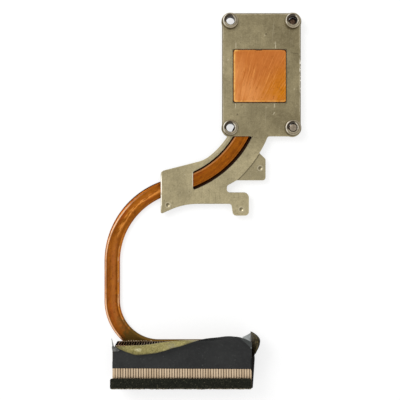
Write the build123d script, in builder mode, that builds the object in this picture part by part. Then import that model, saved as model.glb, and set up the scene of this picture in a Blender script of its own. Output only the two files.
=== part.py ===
"""Laptop heat-pipe heatsink, lying on its back with the processor pad facing up.

The origin is the centre of the pad's contact face and +Z points at the processor.
"""

import os
from math import cos, radians, sin

from build123d import *

os.makedirs("parts", exist_ok=True)

# Mounting plate
plate_thickness = 1.5
hole_spacing_x = 35.0
hole_spacing_y = 60.0
pattern_x = 1.0
pattern_y = 0.8
lobe_radius = 5.0
edge_inset = 0.35
lobe_blend_radius = 3.0
edge_break = 0.3
arm_bevel_width = 0.7
arm_bevel_depth = 0.45

# Processor pad in the plate's window
pad_side = 29.5
pad_proud = 0.5
pad_corner_radius = 0.8
pad_edge_break = 0.2
pad_clearance = 0.3

# Pressed bushes in the plate's corners
bush_bore_radius = 2.35
bush_spigot_radius = 3.1
bush_collar_radius = 4.2
bush_collar_height = 2.4
bush_edge_break = 0.35

# Heat pipe, a round tube pressed flat, as a chain of runs and bends
pipe_width = 8.8
pipe_height = 2.5
pipe_tip_length = 4.0
pipe_tip_width = 4.6
pipe_tip_height = 1.3
pad_run_x = -3.7
pad_run_end_y = 17.0
arm_bend_start_y = -8.0
arm_bend_radius = 54.2
arm_bend_angle = 75.0
arm_run_length = 7.3
side_bend_radius = 43.8
side_run_length = 22.1
fin_bend_radius = 26.5
fin_run_length = 46.0

# Arm of the plate, drawn around the pipe's first bend
slot_overlap = 0.45
slot_gap = 1.05
inner_rail_width = 2.8
outer_rail_width = 8.1
slot_end_reach = 3.6
slot_corner_radius = 0.8
arm_place_angle = 72.0
arm_root_angle = 15.0
rail_kink_angle = 56.0
rail_kink_radius = 18.0
rail_root_radius = 1.4
notch_angle = 48.35
arm_left_reach = 14.6
arm_upper_reach = 6.0
arm_tip_drop = 18.2
arm_lower_drop = 12.4
arm_knee_x = -2.0
foot_left_x = 26.2
foot_right_x = 35.1
foot_top_drop = 5.9
foot_bottom_drop = 19.0
foot_root_width = 0.9
notch_root_x = 22.7
notch_root_drop = 2.2
notch_radius = 1.6
foot_top_radius = 3.0
foot_bottom_radius = 2.2
foot_root_radius = 1.6
arm_knee_radius = 38.0
arm_tip_radius = 0.9
arm_shoulder_radius = 2.6

# Tab pressed to a lower level beside the arm
tab_step = 0.8
tab_overlap = 2.0
tab_right_x = 3.4
tab_top_angle = 31.4
tab_shoulder_drop = 3.3
tab_corner_radius = 1.6

# Locating dimples, spherical dents in the upper face
dimple_radius = 1.15
dimple_depth = 0.45
arm_dimple_inset = 4.1
arm_dimple_drop = 13.0
foot_dimple_inset = 4.3
foot_dimple_rise = 3.5
tab_dimple_inset = 3.0
tab_dimple_rise = 6.83

# Folded fins, each a channel that reaches to the next one's web
fin_count = 54
fin_pitch = 1.415
fin_height = 10.0
fin_depth = 23.6
fin_thickness = 0.22
fin_bend = 0.42
end_fin_setback = 3.2
stack_inset = 1.74
pipe_reach = 0.7

# Cover film over the fan side of the fins
film_thickness = 0.2
film_depth = 12.9
film_side_inset = 0.3
film_fold_lip = 0.6
film_edge_lip = 0.1
film_wall_height = 8.5
film_wall_drop = 0.9
film_wall_foot = 0.05
film_wall_bulge_exhaust = 0.5
film_wall_bulge_rear = 1.25
film_wall_bulge_fan = 1.9
ear_root = 5.0
ear_slit = 1.2
ear_peak = 2.6
ear_reach = 5.8
ear_lean = 4.4
ear_root_loss = 0.48
ear_bow = 1.4
ear_section_shares = (1.0, 0.85, 0.6, 0.0)
ear_root_shares = (1.0, 0.67, 0.34, 0.0)
ear_tip_shares = (0.5, 0.8, 0.98)
gusset_width = 4.3
gusset_reach = 3.9
gusset_rise = 0.4
gusset_root_reach = 1.1
gusset_foot_inset = 0.7
gusset_foot_rise = 0.8
tongue_height = 3.2
tongue_reach = 3.4
tongue_root = 7.0

# Fan-side lip of the cover film, station by station from the pipe's bend to the ear: folded
# back flat at first, then opening to a gentle rise. Each station has its share of the film's
# width, its flat reach past the fins, the radius and angle of its curl and its straight tail.
film_station_shares = (
    0.0, 0.065, 0.14, 0.2, 0.27, 0.33, 0.414, 0.52, 0.607, 0.736, 0.843, 0.9, 0.952, 1.0
)
film_reaches = (-1.0, -0.75, -0.5, -0.3, 0.2, 0.9, 1.5, 1.75, 1.2, 1.2, 1.0, 1.0, 0.9, 0.6)
film_curl_radii = (0.45, 0.45, 0.45, 0.48, 0.55, 0.65, 0.9, 1.4, 2.0, 3.0, 5.0, 5.0, 5.0, 5.0)
film_curl_angles = (
    165.0, 172.0, 174.0, 174.0, 172.0, 165.0, 146.0, 112.0, 74.0, 42.0, 22.0, 18.0, 10.0, 6.0
)
film_tails = (0.8, 2.9, 4.45, 4.25, 4.1, 3.85, 3.05, 2.9, 2.7, 2.2, 2.6, 2.4, 2.0, 0.9)

# Foam strip along the exhaust edge
foam_width = 5.7
foam_height = 2.0
foam_edge_radius = 0.6
foam_left_overhang = 1.2
foam_exhaust_overhang = 0.2

# Distance under which two points count as one
touch_tolerance = 0.001

# Levels and places that follow from the sizes above
plate_top = -pad_proud
plate_back = plate_top - plate_thickness
pipe_middle = plate_back - pipe_height / 2
fin_top = plate_back + fin_height
film_top = fin_top + film_thickness
plate_width = hole_spacing_x + 2 * (lobe_radius - edge_inset)
plate_length = hole_spacing_y + 2 * (lobe_radius - edge_inset)
plate_lower_y = pattern_y - plate_length / 2
bend_x = pad_run_x - arm_bend_radius
bend_y = arm_bend_start_y
slot_inner_radius = arm_bend_radius - pipe_width / 2 + slot_overlap
slot_outer_radius = arm_bend_radius + pipe_width / 2 + slot_gap
arm_inner_radius = slot_inner_radius - inner_rail_width
arm_outer_radius = slot_outer_radius + outer_rail_width


def around_bend(radius, angle):
    """Point at a radius and a clockwise angle about the centre of the pipe's first bend."""
    return (bend_x + radius * cos(radians(angle)), bend_y - radius * sin(radians(angle)))


def on_straight_edge(corner):
    """Whether an outline corner lies on one of the plate's straight sides."""
    from_side = abs(abs(corner.X - pattern_x) - plate_width / 2)
    from_end = abs(abs(corner.Y - pattern_y) - plate_length / 2)
    return min(from_side, from_end) < touch_tolerance


# Heat pipe: a flattened tube swept along its route, with both ends drawn down and closed
with BuildPart() as heat_pipe:
    with BuildLine(Plane.XY.offset(pipe_middle)) as pipe_route:
        pad_run = Line((pad_run_x, pad_run_end_y), (pad_run_x, arm_bend_start_y))
        arm_bend = JernArc(pad_run @ 1, pad_run % 1, arm_bend_radius, -arm_bend_angle)
        arm_run = PolarLine(arm_bend @ 1, arm_run_length, direction=arm_bend % 1)
        side_bend = JernArc(arm_run @ 1, arm_run % 1, side_bend_radius, arm_bend_angle)
        side_run = PolarLine(side_bend @ 1, side_run_length, direction=side_bend % 1)
        fin_bend_arc = JernArc(side_run @ 1, side_run % 1, fin_bend_radius, 90)
        fin_run = PolarLine(fin_bend_arc @ 1, fin_run_length, direction=fin_bend_arc % 1)
    with BuildSketch(Plane(origin=pad_run @ 0, x_dir=(1, 0, 0), z_dir=(0, -1, 0))):
        SlotOverall(pipe_width, pipe_height)
    sweep(path=pipe_route.line)
    for pipe_end, outward, across in (
        (pad_run @ 0, Vector(0, 1, 0), (1, 0, 0)),
        (fin_run @ 1, Vector(1, 0, 0), (0, 1, 0)),
    ):
        with BuildSketch(Plane(origin=pipe_end, x_dir=across, z_dir=outward)):
            SlotOverall(pipe_width, pipe_height)
        with BuildSketch(
            Plane(origin=pipe_end + outward * pipe_tip_length, x_dir=across, z_dir=outward)
        ):
            SlotOverall(pipe_tip_width, pipe_tip_height)
        loft()
heat_pipe.part.label = "heat_pipe"
export_step(heat_pipe.part, "parts/heat_pipe.step")

# A point on the first bend places the arm, and the last run places the fins
slot_x, slot_y = around_bend(arm_bend_radius, arm_place_angle)
pipe_run_y = (fin_run @ 0).Y
stack_left_x = (side_run @ 0).X + stack_inset
arm_left_x = slot_x - arm_left_reach
arm_left_top_y = slot_y + arm_upper_reach
foot_right = slot_x + foot_right_x
foot_bottom = slot_y - foot_bottom_drop
tab_lower_y = around_bend(arm_outer_radius, notch_angle)[1]
tab_shoulder_y = around_bend(arm_outer_radius, tab_top_angle)[1] - tab_shoulder_drop
outer_rail_rise = plate_lower_y - bend_y
outer_rail_root = (bend_x + (arm_outer_radius**2 - outer_rail_rise**2) ** 0.5, plate_lower_y)
window_side = pad_side + 2 * pad_clearance
dimple_sphere = (dimple_radius**2 + dimple_depth**2) / (2 * dimple_depth)
fan_y = pipe_run_y + pipe_width / 2 - pipe_reach
exhaust_y = fan_y - fin_depth
stack_width = fin_count * fin_pitch
film_rear_y = fan_y - film_depth
film_width = stack_width - film_fold_lip
stack_right_x = stack_left_x + stack_width
wall_bottom = fin_top - film_wall_height

# Mounting plate with its arm: one casting around the pad's window and the pipe's slot
with BuildPart() as base_plate:
    with BuildSketch(Plane.XY.offset(plate_back)) as plate_outline:
        with Locations((pattern_x, pattern_y)):
            RectangleRounded(plate_width, plate_length, lobe_radius - edge_inset)
            with GridLocations(hole_spacing_x, hole_spacing_y, 2, 2):
                Circle(lobe_radius)
        lobe_roots = plate_outline.vertices().filter_by(on_straight_edge)
        fillet(lobe_roots, lobe_blend_radius)
        with BuildLine():
            outer_rail = ThreePointArc(
                around_bend(arm_outer_radius, arm_root_angle),
                around_bend(arm_outer_radius, (arm_root_angle + notch_angle) / 2),
                around_bend(arm_outer_radius, notch_angle),
            )
            inner_rail = ThreePointArc(
                around_bend(arm_inner_radius, rail_kink_angle),
                around_bend(arm_inner_radius, (arm_root_angle + rail_kink_angle) / 2),
                around_bend(arm_inner_radius, arm_root_angle),
            )
            FilletPolyline(
                outer_rail @ 1,
                (slot_x + notch_root_x, slot_y - notch_root_drop),
                (slot_x + notch_root_x, slot_y - foot_top_drop),
                (foot_right, slot_y - foot_top_drop),
                (foot_right, foot_bottom),
                (slot_x + foot_left_x, foot_bottom),
                (slot_x + foot_left_x - foot_root_width, slot_y - arm_lower_drop),
                (slot_x + arm_knee_x, slot_y - arm_lower_drop),
                (arm_left_x, slot_y - arm_tip_drop),
                (arm_left_x, arm_left_top_y),
                inner_rail @ 0,
                radius=[
                    notch_radius,
                    notch_radius,
                    foot_top_radius,
                    foot_bottom_radius,
                    foot_bottom_radius,
                    foot_root_radius,
                    arm_knee_radius,
                    arm_tip_radius,
                    arm_shoulder_radius,
                ],
            )
            Line(inner_rail @ 1, outer_rail @ 0)
        make_face()
        rail_kink = plate_outline.vertices().sort_by_distance(inner_rail @ 0)[0]
        fillet(rail_kink, rail_kink_radius)
        rail_root = plate_outline.vertices().sort_by_distance(outer_rail_root)[0]
        fillet(rail_root, rail_root_radius)
    extrude(amount=plate_thickness)
    chamfer(base_plate.faces().sort_by(Axis.Z)[-1].outer_wire().edges(), edge_break)
    with BuildSketch(Plane.XZ.offset(-arm_left_top_y)):
        with BuildLine():
            Polyline(
                (arm_left_x, plate_top - arm_bevel_depth),
                (arm_left_x + arm_bevel_width, plate_top),
                (arm_left_x, plate_top),
                close=True,
            )
        make_face()
    extrude(amount=arm_upper_reach + arm_tip_drop, mode=Mode.SUBTRACT)
    with BuildSketch(Plane.XY.offset(plate_top - tab_step)) as tab_outline:
        with BuildLine():
            hidden_edge = ThreePointArc(
                around_bend(arm_outer_radius - tab_overlap, tab_top_angle),
                around_bend(arm_outer_radius - tab_overlap, (tab_top_angle + notch_angle) / 2),
                around_bend(arm_outer_radius - tab_overlap, notch_angle),
            )
            Polyline(
                hidden_edge @ 1,
                around_bend(arm_outer_radius, notch_angle),
                (tab_right_x, tab_lower_y),
                (tab_right_x, tab_shoulder_y),
                around_bend(arm_outer_radius, tab_top_angle),
                hidden_edge @ 0,
            )
        make_face()
        fillet(tab_outline.vertices().group_by(Axis.X)[-1], tab_corner_radius)
    extrude(amount=-plate_thickness)
    with BuildSketch(Plane.XY.offset(plate_back)) as slot_outline:
        with Locations((bend_x, bend_y)):
            Circle(slot_outer_radius)
            Circle(slot_inner_radius, mode=Mode.SUBTRACT)
        with Locations((slot_x + slot_end_reach, plate_lower_y)):
            Rectangle(
                arm_outer_radius,
                arm_outer_radius,
                align=(Align.MIN, Align.MAX),
                mode=Mode.INTERSECT,
            )
        fillet(slot_outline.vertices(), slot_corner_radius)
    extrude(amount=plate_thickness, mode=Mode.SUBTRACT)
    with BuildSketch(Plane.XY.offset(plate_back)):
        RectangleRounded(window_side, window_side, pad_corner_radius + pad_clearance)
        with Locations((pattern_x, pattern_y)):
            with GridLocations(hole_spacing_x, hole_spacing_y, 2, 2):
                Circle(bush_spigot_radius)
    extrude(amount=plate_thickness, mode=Mode.SUBTRACT)
    dimple_rise = dimple_sphere - dimple_depth
    with Locations(
        (arm_left_x + arm_dimple_inset, slot_y - arm_dimple_drop, plate_top + dimple_rise),
        (foot_right - foot_dimple_inset, foot_bottom + foot_dimple_rise, plate_top + dimple_rise),
        (
            tab_right_x - tab_dimple_inset,
            tab_lower_y + tab_dimple_rise,
            plate_top - tab_step + dimple_rise,
        ),
    ):
        Sphere(dimple_sphere, mode=Mode.SUBTRACT)
base_plate.part.label = "base_plate"
export_step(base_plate.part, "parts/base_plate.step")

# Processor pad: a copper block in the plate's window, soldered to the pipe behind it
with BuildPart() as cpu_pad:
    with BuildSketch(Plane.XY.offset(plate_back)):
        RectangleRounded(pad_side, pad_side, pad_corner_radius)
    extrude(amount=-plate_back)
    chamfer(cpu_pad.faces().sort_by(Axis.Z)[-1].edges(), pad_edge_break)
cpu_pad.part.label = "cpu_pad"
export_step(cpu_pad.part, "parts/cpu_pad.step")

# Mounting bushes: four turned collars, each with a spigot pressed into the plate
with BuildPart() as mounting_bushes:
    with BuildSketch(Plane.XY.offset(plate_back)):
        with Locations((pattern_x, pattern_y)):
            with GridLocations(hole_spacing_x, hole_spacing_y, 2, 2):
                Circle(bush_spigot_radius)
    extrude(amount=plate_thickness)
    with BuildSketch(Plane.XY.offset(plate_top)):
        with Locations((pattern_x, pattern_y)):
            with GridLocations(hole_spacing_x, hole_spacing_y, 2, 2):
                Circle(bush_collar_radius)
    extrude(amount=bush_collar_height)
    with BuildSketch(Plane.XY.offset(plate_back)):
        with Locations((pattern_x, pattern_y)):
            with GridLocations(hole_spacing_x, hole_spacing_y, 2, 2):
                Circle(bush_bore_radius)
    extrude(amount=plate_thickness + bush_collar_height, mode=Mode.SUBTRACT)
    chamfer(mounting_bushes.edges().group_by(Axis.Z)[-1], bush_edge_break)
mounting_bushes.part.label = "mounting_bushes"
export_step(mounting_bushes.part, "parts/mounting_bushes.step")

# Fins: folded channels side by side on the pipe, each closed by the web of the next. The end
# one by the pipe's bend is shorter on the fan side.
for number in range(fin_count):
    web_x = stack_left_x + number * fin_pitch
    fan_setback = end_fin_setback if number == 0 else 0.0
    with BuildPart() as fin:
        with BuildSketch(Plane.XZ.offset(fan_setback - fan_y)) as channel:
            with Locations((web_x, plate_back)):
                Rectangle(fin_pitch, fin_height, align=(Align.MIN, Align.MIN))
            chamfer(channel.vertices().group_by(Axis.X)[0], fin_bend)
            with Locations((web_x + fin_thickness, plate_back + fin_thickness)):
                Rectangle(
                    fin_pitch - fin_thickness,
                    fin_height - 2 * fin_thickness,
                    align=(Align.MIN, Align.MIN),
                    mode=Mode.SUBTRACT,
                )
            inner_corners = channel.vertices().filter_by(
                lambda corner: abs(corner.X - web_x - fin_thickness) < touch_tolerance
            )
            chamfer(inner_corners, fin_bend - fin_thickness)
        extrude(amount=fin_depth - fan_setback)
    fin_name = f"fin_{number + 1:02d}"
    fin.part.label = fin_name
    export_step(fin.part, f"parts/{fin_name}.step")

# Foam gasket: a soft strip stuck along the exhaust edge of the fins
with BuildPart() as foam_gasket:
    with BuildSketch(Plane.XY.offset(fin_top)):
        with Locations((stack_left_x - foam_left_overhang, exhaust_y - foam_exhaust_overhang)):
            Rectangle(
                stack_width + foam_left_overhang - film_edge_lip,
                foam_width,
                align=(Align.MIN, Align.MIN),
            )
    extrude(amount=foam_height)
    fillet(foam_gasket.edges().group_by(Axis.Z)[-1], foam_edge_radius)
foam_gasket.part.label = "foam_gasket"
export_step(foam_gasket.part, "parts/foam_gasket.step")

# Cover film: a sheet over the fins with a curled fan-side lip, an end wall with a loose ear,
# a web between the lip and the ear and a small pointed tongue at the other end

def folded_wall(lip, bulge):
    """Outline of the film's end wall: a lip over the last fin, then a fold that bulges off it."""
    inner = (
        (stack_right_x - lip, fin_top),
        (stack_right_x, fin_top),
        (stack_right_x + bulge, fin_top - film_wall_drop),
        (stack_right_x + film_wall_foot, wall_bottom),
    )
    outer = (
        (stack_right_x + film_wall_foot + film_thickness, wall_bottom),
        (stack_right_x + bulge + film_thickness, fin_top - film_wall_drop),
        (stack_right_x + film_thickness, film_top),
        (stack_right_x - lip, film_top),
    )
    return inner + outer


def leaning_wall(lean, rise):
    """Outline of the end wall's loose ear, bowed outwards, at a share of its full height."""
    inner = []
    for share in ear_section_shares:
        inner_x = stack_right_x + film_wall_foot + lean * rise * share**ear_bow
        inner.append((inner_x, wall_bottom + film_wall_height * rise * share))
    outer = [(x + film_thickness, z) for x, z in reversed(inner)]
    return inner + outer


film_wall_stations = [
    (exhaust_y + film_side_inset, folded_wall(film_edge_lip, film_wall_bulge_exhaust)),
    (film_rear_y - ear_slit, folded_wall(film_edge_lip, film_wall_bulge_rear)),
    (film_rear_y, folded_wall(film_fold_lip, film_wall_bulge_rear)),
    (fan_y - ear_root - ear_slit, folded_wall(film_fold_lip, film_wall_bulge_fan)),
]
for share in ear_root_shares:
    ear_y = fan_y + ear_peak - share * (ear_peak + ear_root)
    film_wall_stations.append((ear_y, leaning_wall(ear_lean * (1 - ear_root_loss * share**2), 1.0)))
for share in ear_tip_shares:
    ear_y = fan_y + ear_peak + share * (ear_reach - ear_peak)
    film_wall_stations.append((ear_y, leaning_wall(ear_lean, (1 - share**2) ** 0.5)))

# Corners of the web that joins the lip's end to the foot of the ear
gusset_lip = Vector(stack_right_x - gusset_width, fan_y + gusset_reach, film_top + gusset_rise)
gusset_root = Vector(stack_right_x - film_fold_lip, fan_y + gusset_root_reach, film_top)
gusset_foot = Vector(
    stack_right_x + film_wall_foot,
    fan_y + ear_reach - gusset_foot_inset,
    wall_bottom + gusset_foot_rise,
)
gusset_normal = (gusset_root - gusset_lip).cross(gusset_foot - gusset_lip)
gusset_plane = Plane(origin=gusset_lip, x_dir=gusset_root - gusset_lip, z_dir=gusset_normal)
gusset_corners = [
    gusset_plane.to_local_coords(corner) for corner in (gusset_lip, gusset_root, gusset_foot)
]

film_stations = zip(
    film_station_shares, film_reaches, film_curl_radii, film_curl_angles, film_tails
)
with BuildPart() as cover_film:
    for place, reach, curl_radius, curl_angle, tail in film_stations:
        station_x = stack_left_x + place * film_width
        with BuildSketch(Plane(origin=(station_x, 0, 0), x_dir=(0, 1, 0), z_dir=(1, 0, 0))):
            with BuildLine():
                under_flat = Line((film_rear_y, fin_top), (fan_y + reach, fin_top))
                under_curl = JernArc(
                    under_flat @ 1, under_flat % 1, curl_radius + film_thickness, curl_angle
                )
                under_tail = PolarLine(under_curl @ 1, tail, direction=under_curl % 1)
                over_flat = Line((film_rear_y, film_top), (fan_y + reach, film_top))
                over_curl = JernArc(over_flat @ 1, over_flat % 1, curl_radius, curl_angle)
                over_tail = PolarLine(over_curl @ 1, tail, direction=over_curl % 1)
                Line(under_tail @ 1, over_tail @ 1)
                Line(under_flat @ 0, over_flat @ 0)
            make_face()
    loft(ruled=True)
    for wall_y, wall_outline in film_wall_stations:
        with BuildSketch(Plane(origin=(0, wall_y, 0), x_dir=(1, 0, 0), z_dir=(0, -1, 0))):
            with BuildLine():
                Polyline(*wall_outline, close=True)
            make_face()
    loft(ruled=True)
    with BuildSketch(gusset_plane):
        with BuildLine():
            Polyline(*[(corner.X, corner.Y) for corner in gusset_corners], close=True)
        make_face()
    extrude(amount=film_thickness)
    with BuildSketch(Plane(origin=(stack_left_x, 0, 0), x_dir=(0, 1, 0), z_dir=(1, 0, 0))):
        with BuildLine():
            Polyline(
                (fan_y - tongue_root, film_top),
                (fan_y, film_top),
                (fan_y + tongue_reach, fin_top - tongue_height / 2),
                (fan_y, fin_top - tongue_height),
                (fan_y - tongue_root, fin_top - film_thickness),
                close=True,
            )
        make_face()
    extrude(amount=-film_thickness)
cover_film.part.label = "cover_film"
export_step(cover_film.part, "parts/cover_film.step")
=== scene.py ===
"""Looks of a laptop heat-pipe heatsink: metal finishes, cover film, foam strip and studio.

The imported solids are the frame. The plate, bushes, pad and fins keep their solids and get
finishes. The heat pipe, cover film and foam strip are finer meshes in the place of theirs.
"""

import logging
import math
from dataclasses import dataclass
from enum import Enum
from functools import lru_cache
from typing import Any, Mapping, NamedTuple, Optional, Sequence, Tuple, Union

import bmesh
import bpy
import numpy as np
from bpy.types import ID, Material, Mesh, Node, NodeTree, Object
from bpy.types import NodeSocket as Socket
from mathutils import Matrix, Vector, noise


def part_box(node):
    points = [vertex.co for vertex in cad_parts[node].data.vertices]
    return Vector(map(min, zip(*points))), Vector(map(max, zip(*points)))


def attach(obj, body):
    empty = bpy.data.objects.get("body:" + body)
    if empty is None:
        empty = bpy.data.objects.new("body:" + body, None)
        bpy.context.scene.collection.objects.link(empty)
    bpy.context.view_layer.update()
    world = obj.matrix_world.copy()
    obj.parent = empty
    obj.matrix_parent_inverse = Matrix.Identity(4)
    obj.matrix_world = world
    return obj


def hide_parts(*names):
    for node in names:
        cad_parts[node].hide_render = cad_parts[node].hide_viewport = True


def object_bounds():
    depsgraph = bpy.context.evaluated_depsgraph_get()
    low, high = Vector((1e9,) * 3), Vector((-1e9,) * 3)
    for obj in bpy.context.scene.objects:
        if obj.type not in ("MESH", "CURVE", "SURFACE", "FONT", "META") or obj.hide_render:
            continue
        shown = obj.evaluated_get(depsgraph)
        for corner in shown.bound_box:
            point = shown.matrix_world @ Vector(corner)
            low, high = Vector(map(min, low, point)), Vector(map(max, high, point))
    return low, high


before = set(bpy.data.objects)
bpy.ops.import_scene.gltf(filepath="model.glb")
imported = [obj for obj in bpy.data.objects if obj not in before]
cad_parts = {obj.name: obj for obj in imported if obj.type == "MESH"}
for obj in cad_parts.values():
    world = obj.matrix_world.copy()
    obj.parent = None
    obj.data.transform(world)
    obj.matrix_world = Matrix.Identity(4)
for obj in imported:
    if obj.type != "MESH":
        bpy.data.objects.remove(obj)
CAD_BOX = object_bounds()

LOG = logging.getLogger("heatsink")
MM = 0.001
UPRIGHT = math.pi / 2
BODY = "root"

Triple = Tuple[float, float, float]
Colour = Triple
Value = Union[Socket, float, Sequence[float]]
Lengths = Tuple[float, ...]

# A span is where a mask starts and where it is full. A band is a mask's middle, the distance
# from it within which the mask is full and the distance at which it is gone.
Span = Lengths
Band = Lengths


class Slot(str, Enum):
    """Material slots of the record."""

    PLATE = "plate_alloy"
    BUSH = "bush_steel"
    PAD = "pad_copper"
    PIPE = "pipe_copper"
    FIN = "fin_sheet"
    FILM = "film_black"
    FOAM = "foam_black"


class Skin(Enum):
    """Faces of the cover film, as material places on its mesh."""

    OUTER = 0
    INNER = 1
    EAR_INNER = 2
    WEB = 3
    SCUFFED = 4
    WALL = 5


def rgba(colour: Colour) -> Tuple[float, float, float, float]:
    """Gives a colour with full alpha."""
    return (*colour, 1.0)


def mm(*lengths: float) -> Lengths:
    """Gives lengths in millimetres as metres."""
    return tuple(length * MM for length in lengths)


class Tree:
    """Adds nodes to one node tree and joins them."""

    def __init__(self, tree: NodeTree) -> None:
        """Keeps the tree that the nodes go into."""
        self.tree = tree

    def add(
        self, kind: str, inputs: Optional[Mapping[Union[str, int], Value]] = None, **settings: Any
    ) -> Node:
        """Adds one node.

        Args:
            kind: Blender's name of the node type.
            inputs: Sockets or constants by input name or number.
            **settings: Properties of the node itself.

        Returns:
            The new node.
        """
        node = self.tree.nodes.new(kind)
        for name, setting in settings.items():
            setattr(node, name, setting)
        for name, value in (inputs or {}).items():
            if isinstance(value, Socket):
                self.tree.links.new(value, node.inputs[name])
            else:
                node.inputs[name].default_value = value
        return node

    def calc(self, operation: str, first: Value, second: Value = 0.0, clamp: bool = False) -> Socket:
        """Gives the result of one sum of two values."""
        node = self.add("ShaderNodeMath", {0: first, 1: second}, operation=operation, use_clamp=clamp)
        return node.outputs[0]

    def both(self, first: Value, *others: Value) -> Value:
        """Gives the product of values, which for masks is the share they have in common."""
        for other in others:
            first = self.calc("MULTIPLY", first, other)
        return first

    def plus(self, first: Value, second: Value) -> Socket:
        """Gives the sum of two values."""
        return self.calc("ADD", first, second)

    def less(self, first: Value, second: Value) -> Socket:
        """Gives the first value less the second."""
        return self.calc("SUBTRACT", first, second)

    def ratio(self, first: Value, second: Value) -> Socket:
        """Gives the first value divided by the second."""
        return self.calc("DIVIDE", first, second)

    def most(self, first: Value, second: Value) -> Socket:
        """Gives the greater of two values."""
        return self.calc("MAXIMUM", first, second)

    def size(self, value: Value) -> Socket:
        """Gives a value without its sign."""
        return self.calc("ABSOLUTE", value)

    def distance(self, first: Value, second: Value) -> Socket:
        """Gives the length of two distances at right angles."""
        squares = [self.calc("POWER", side, 2.0) for side in (first, second)]
        return self.calc("SQRT", self.plus(*squares))

    def between(self, share: Value, first: Value, second: Value) -> Socket:
        """Gives the first value, or a share of the way from it to the second."""
        return self.add("ShaderNodeMix", {0: share, 2: first, 3: second}, data_type="FLOAT").outputs[0]

    def spread(
        self, value: Value, low: Value, high: float, to_low: float = 0.0, to_high: float = 1.0
    ) -> Socket:
        """Maps a value smoothly from one range to another.

        Args:
            value: The value to map.
            low: Value that gives to_low.
            high: Value that gives to_high.
            to_low: Result at low.
            to_high: Result at high.

        Returns:
            The mapped value.
        """
        inputs = {"Value": value, 1: low, 2: high, 3: to_low, 4: to_high}
        return self.add("ShaderNodeMapRange", inputs, interpolation_type="SMOOTHSTEP").outputs[0]

    def near(self, value: Value, middle: float, full: float, gone: float, amount: float = 1.0) -> Socket:
        """Gives a mask about one value, full within one distance of it and gone at another."""
        return self.spread(self.size(self.less(value, middle)), gone, full, 0.0, amount)

    def lay(self, amount: Value, under: Value, over: Value) -> Socket:
        """Lays a share of one colour over another."""
        inputs = {0: amount, 6: under, 7: over}
        return self.add("ShaderNodeMix", inputs, data_type="RGBA").outputs[2]

    def cloud(self, where: Value, scale: float, detail: float = 3.0, roughness: float = 0.55) -> Socket:
        """Gives soft noise from 0 to 1 with about scale features to the metre."""
        inputs = {"Vector": where, "Scale": scale, "Detail": detail, "Roughness": roughness}
        return self.add("ShaderNodeTexNoise", inputs).outputs[0]

    def place(
        self, where: Value, stretch: Triple, turn: float = 0.0, move: Triple = (0.0, 0.0, 0.0)
    ) -> Socket:
        """Turns a pattern's coordinates about Z, moves them and then stretches them."""
        inputs = {"Vector": where, "Location": move, "Rotation": (0.0, 0.0, turn)}
        turned = self.add("ShaderNodeMapping", inputs).outputs[0]
        return self.add("ShaderNodeVectorMath", {0: turned, 1: stretch}, operation="MULTIPLY").outputs[0]

    def point(self, x: Value, y: Value) -> Socket:
        """Gives coordinates in a plane as a vector."""
        return self.add("ShaderNodeCombineXYZ", {0: x, 1: y}).outputs[0]

    def parts(self, where: Value) -> Tuple[Socket, Socket, Socket]:
        """Gives the three coordinates of a vector."""
        x, y, z = self.add("ShaderNodeSeparateXYZ", {0: where}).outputs
        return x, y, z

    def attribute(self, name: str) -> Socket:
        """Gives a number that the mesh carries at each point."""
        return self.add("ShaderNodeAttribute", attribute_name=name).outputs["Fac"]


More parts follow.
